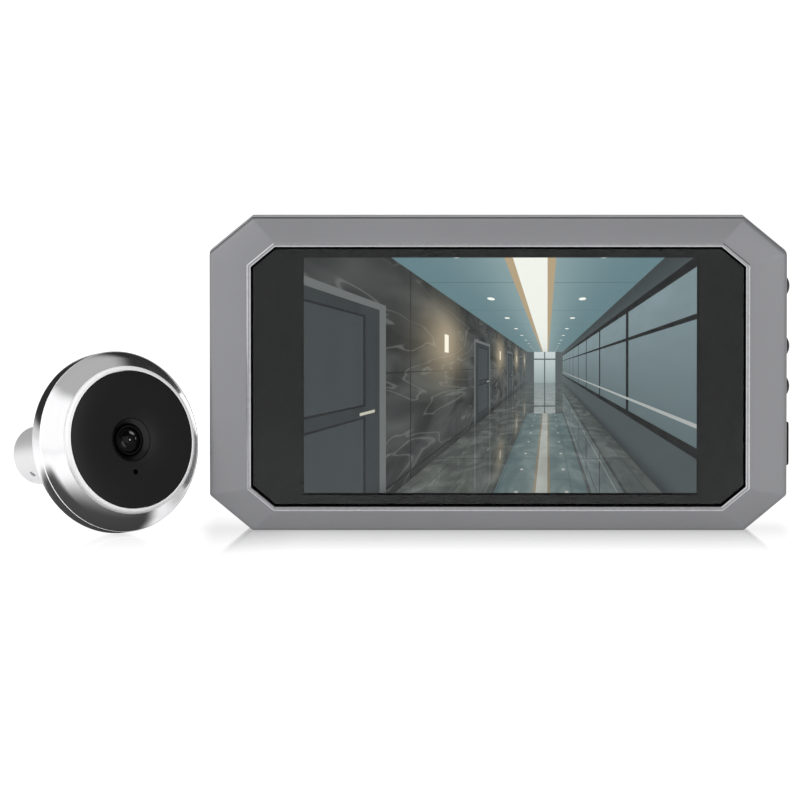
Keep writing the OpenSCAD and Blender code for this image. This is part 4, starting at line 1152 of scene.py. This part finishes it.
# Studio
def studio_floor():
    """A white floor with soft shadows and a crisp, weak reflection near the two units. In gloss, painted
    shade makes it darker below the camera and along the monitor's foot."""
    half = 6.0
    mesh = bpy.data.meshes.new("floor")
    corners = [(-half, -half, 0), (half, -half, 0), (half, half, 0), (-half, half, 0)]
    mesh.from_pydata(corners, [], [(0, 1, 2, 3)])
    floor = linked("floor", mesh)
    material = bpy.data.materials.new("white_floor")
    material.use_nodes = True
    mesh.materials.append(material)
    tree = material.node_tree
    tree.nodes.clear()
    rays = tree.nodes.new("ShaderNodeLightPath").outputs
    glossy = Num(tree, rays["Is Glossy Ray"])
    direct = Num(tree, rays["Is Camera Ray"])
    seen = direct.most(glossy).most(Num(tree, rays["Is Transmission Ray"]))
    x, y, _ = parts_of(tree, tree.nodes.new("ShaderNodeTexCoord").outputs["Object"])

    # Painted shade below the camera, seen in gloss alone: it ends along two slanting lines and at the
    # monitor's front
    ahead = (y - camera_origin.y + 21.4 * MM) * 0.837 - (x - camera_origin.x + 8.0 * MM) * 0.546
    beyond = (camera_origin.y - 2.7 * MM - y) - (x - camera_origin.x - 12.0 * MM) * 0.2
    foot = ahead.eased(-6.5 * MM, 3.0 * MM) * beyond.eased(-4.0 * MM, 2.5 * MM)
    foot = foot * x.eased(-165.0 * MM, -125.0 * MM) * y.eased(6.0 * MM, -8.0 * MM)
    painted_shade_below_camera = 0.94

    # Along the monitor's foot, where the floor mirrors and, in gloss, carries painted shade; and round the
    # camera's, where it mirrors
    under = (abs(x) - case_size.x / 2).eased(5.0 * MM, -2.0 * MM)
    near = (1.0 - abs(bezel_low.y - y) / (80.0 * MM)).most(0.0) * under
    painted_shade_along_monitor = 0.22
    narrow = 2.8
    foot_x = (x - (camera_origin.x + 3.0 * MM)) * narrow
    foot_y = y - (camera_origin.y - 5.0 * MM)
    beside = (1.0 - foot_x.span(foot_y) / (120.0 * MM)).most(0.0)
    camera_mirror = 0.5

    # Far from the units, the floor fades into the white background
    away = (x - look_at.x).span(y - look_at.y).eased(0.12, 0.45)
    # In gloss, painted shade darkens the floor below the camera and along the monitor's foot
    clear = 1.0 - glossy * (foot * painted_shade_below_camera + near * painted_shade_along_monitor)
    strength = seen * clear * (away * 0.35 + 0.7) + direct * (1.0 - away) * 0.33
    white = clear * (0.6 - direct * 0.36) * (1.0 - glossy * away)
    sheen = wired(tree, "ShaderNodeFresnel", {"IOR": 1.45})
    mirror = clear * (near + beside * camera_mirror) * Num(tree, sheen.outputs[0])

    light = wired(tree, "ShaderNodeEmission", {"Strength": strength})
    tone = wired(tree, "ShaderNodeCombineColor", {0: white, 1: white, 2: white})
    matt = wired(tree, "ShaderNodeBsdfDiffuse", {"Color": tone.outputs[0]})
    both = wired(tree, "ShaderNodeAddShader", {0: light.outputs[0], 1: matt.outputs[0]})
    gloss = wired(tree, "ShaderNodeBsdfGlossy", {"Color": (1.0, 1.0, 1.0), "Roughness": 0.04})
    surface = wired(tree, "ShaderNodeMixShader", {0: mirror, 1: both.outputs[0], 2: gloss.outputs[0]})
    wired(tree, "ShaderNodeOutputMaterial", {"Surface": surface.outputs[0]})


def studio_world():
    """White to the camera; in gloss, a bright horizon and front with a dark upper back."""
    world = bpy.data.worlds.new("studio")
    bpy.context.scene.world = world
    world.use_nodes = True
    tree = world.node_tree
    tree.nodes.clear()
    rays = tree.nodes.new("ShaderNodeLightPath").outputs
    camera_ray = Num(tree, rays["Is Camera Ray"]).most(Num(tree, rays["Is Transmission Ray"]))
    glossy_ray = Num(tree, rays["Is Glossy Ray"])
    x, y, z = parts_of(tree, tree.nodes.new("ShaderNodeTexCoord").outputs["Generated"])

    horizon = z.eased(0.2, 0.06)
    front = y.eased(0.1, -0.35) * (z.eased(0.55, 0.25) * 0.8 + z.eased(1.0, 0.75) * 0.2)
    overhead = z.eased(0.7, 0.9) * 0.64
    left = x.eased(-0.1, -0.4) * z.eased(0.97, 0.75) * 1.5 * y.eased(0.2, -0.1)
    darkest = 0.035
    diffuse = 0.55
    gloss = horizon.most(front).most(overhead).most(left).most(darkest)
    strength = camera_ray.most(glossy_ray * gloss).most((1.0 - camera_ray) * (1.0 - glossy_ray) * diffuse)
    light = wired(tree, "ShaderNodeBackground", {"Strength": strength})
    wired(tree, "ShaderNodeOutputWorld", {"Surface": light.outputs[0]})


def look_from(thing, azimuth, elevation, distance):
    """Points a thing at the object from an azimuth, where 0 is in front, and an elevation."""
    a = math.radians(azimuth)
    e = math.radians(elevation)
    way = Vector((math.sin(a) * math.cos(e), -math.cos(a) * math.cos(e), math.sin(e)))
    thing.location = look_at + way * distance
    thing.rotation_euler = (-way).to_track_quat("-Z", "Y").to_euler()


def area_lamp(name, size, radiance):
    """A lamp that only its light shows."""
    lamp = bpy.data.lights.new(name, "AREA")
    lamp.shape = "RECTANGLE"
    lamp.size, lamp.size_y = size
    lamp.energy = radiance * math.pi * size[0] * size[1]
    holder = linked(name, lamp)
    holder.visible_camera = False
    return holder


def soft_box(name, azimuth, elevation, distance, size, radiance, in_gloss=True):
    box = area_lamp(name, size, radiance)
    look_from(box, azimuth, elevation, distance)
    box.visible_glossy = in_gloss


def rim_card():
    """A small lit card between the two units, for the bright edge that faces away from the view."""
    card = area_lamp("rim_card", (13.0 * MM, 12.0 * MM), 0.9)
    card.location = (bezel_low.x - 1.2 * MM, 4.5 * MM, 29.0 * MM)
    card.rotation_euler = (0, QUARTER, 0)
    card.visible_diffuse = False


def view_camera():
    data = bpy.data.cameras.new("view")
    data.sensor_width = sensor_width
    data.lens = sensor_width * view_distance / view_width
    data.clip_start = 0.05
    data.clip_end = 50.0
    camera = linked("view", data)
    look_from(camera, 0, view_elevation, view_distance)
    bpy.context.scene.camera = camera


view_camera()
front_bezel()
front_window()
screen_glass()
for key in ("menu", "up", "down"):
    round_key(key + "_button", key + "_key")
view_key()
rear_housing()
battery_cover()
camera_housing()
face_panel()
lens_hood()
lens_tube()
front_lens()
door_barrel()
door_gasket()
back_facing_screws("back_screws", "case_screws", 3, 2.0, 1.4, 1.0, 2.5, 0.5)
back_facing_screws("circuit_screws", "board_screws", 5, 1.7, 0.9, 0.8, 2.0, 0.4)
camera_screws()
finish_kept_nodes()
studio_floor()
studio_world()
soft_box("left_box", -46, 27, 1.1, (0.95, 1.3), 1.7, in_gloss=False)
soft_box("right_box", 36, 14, 1.1, (0.6, 0.6), 1.6)
soft_box("top_box", 0, 84, 1.3, (1.2, 1.0), 1.1, in_gloss=False)
rim_card()
bpy.context.scene.view_settings.view_transform = "Standard"
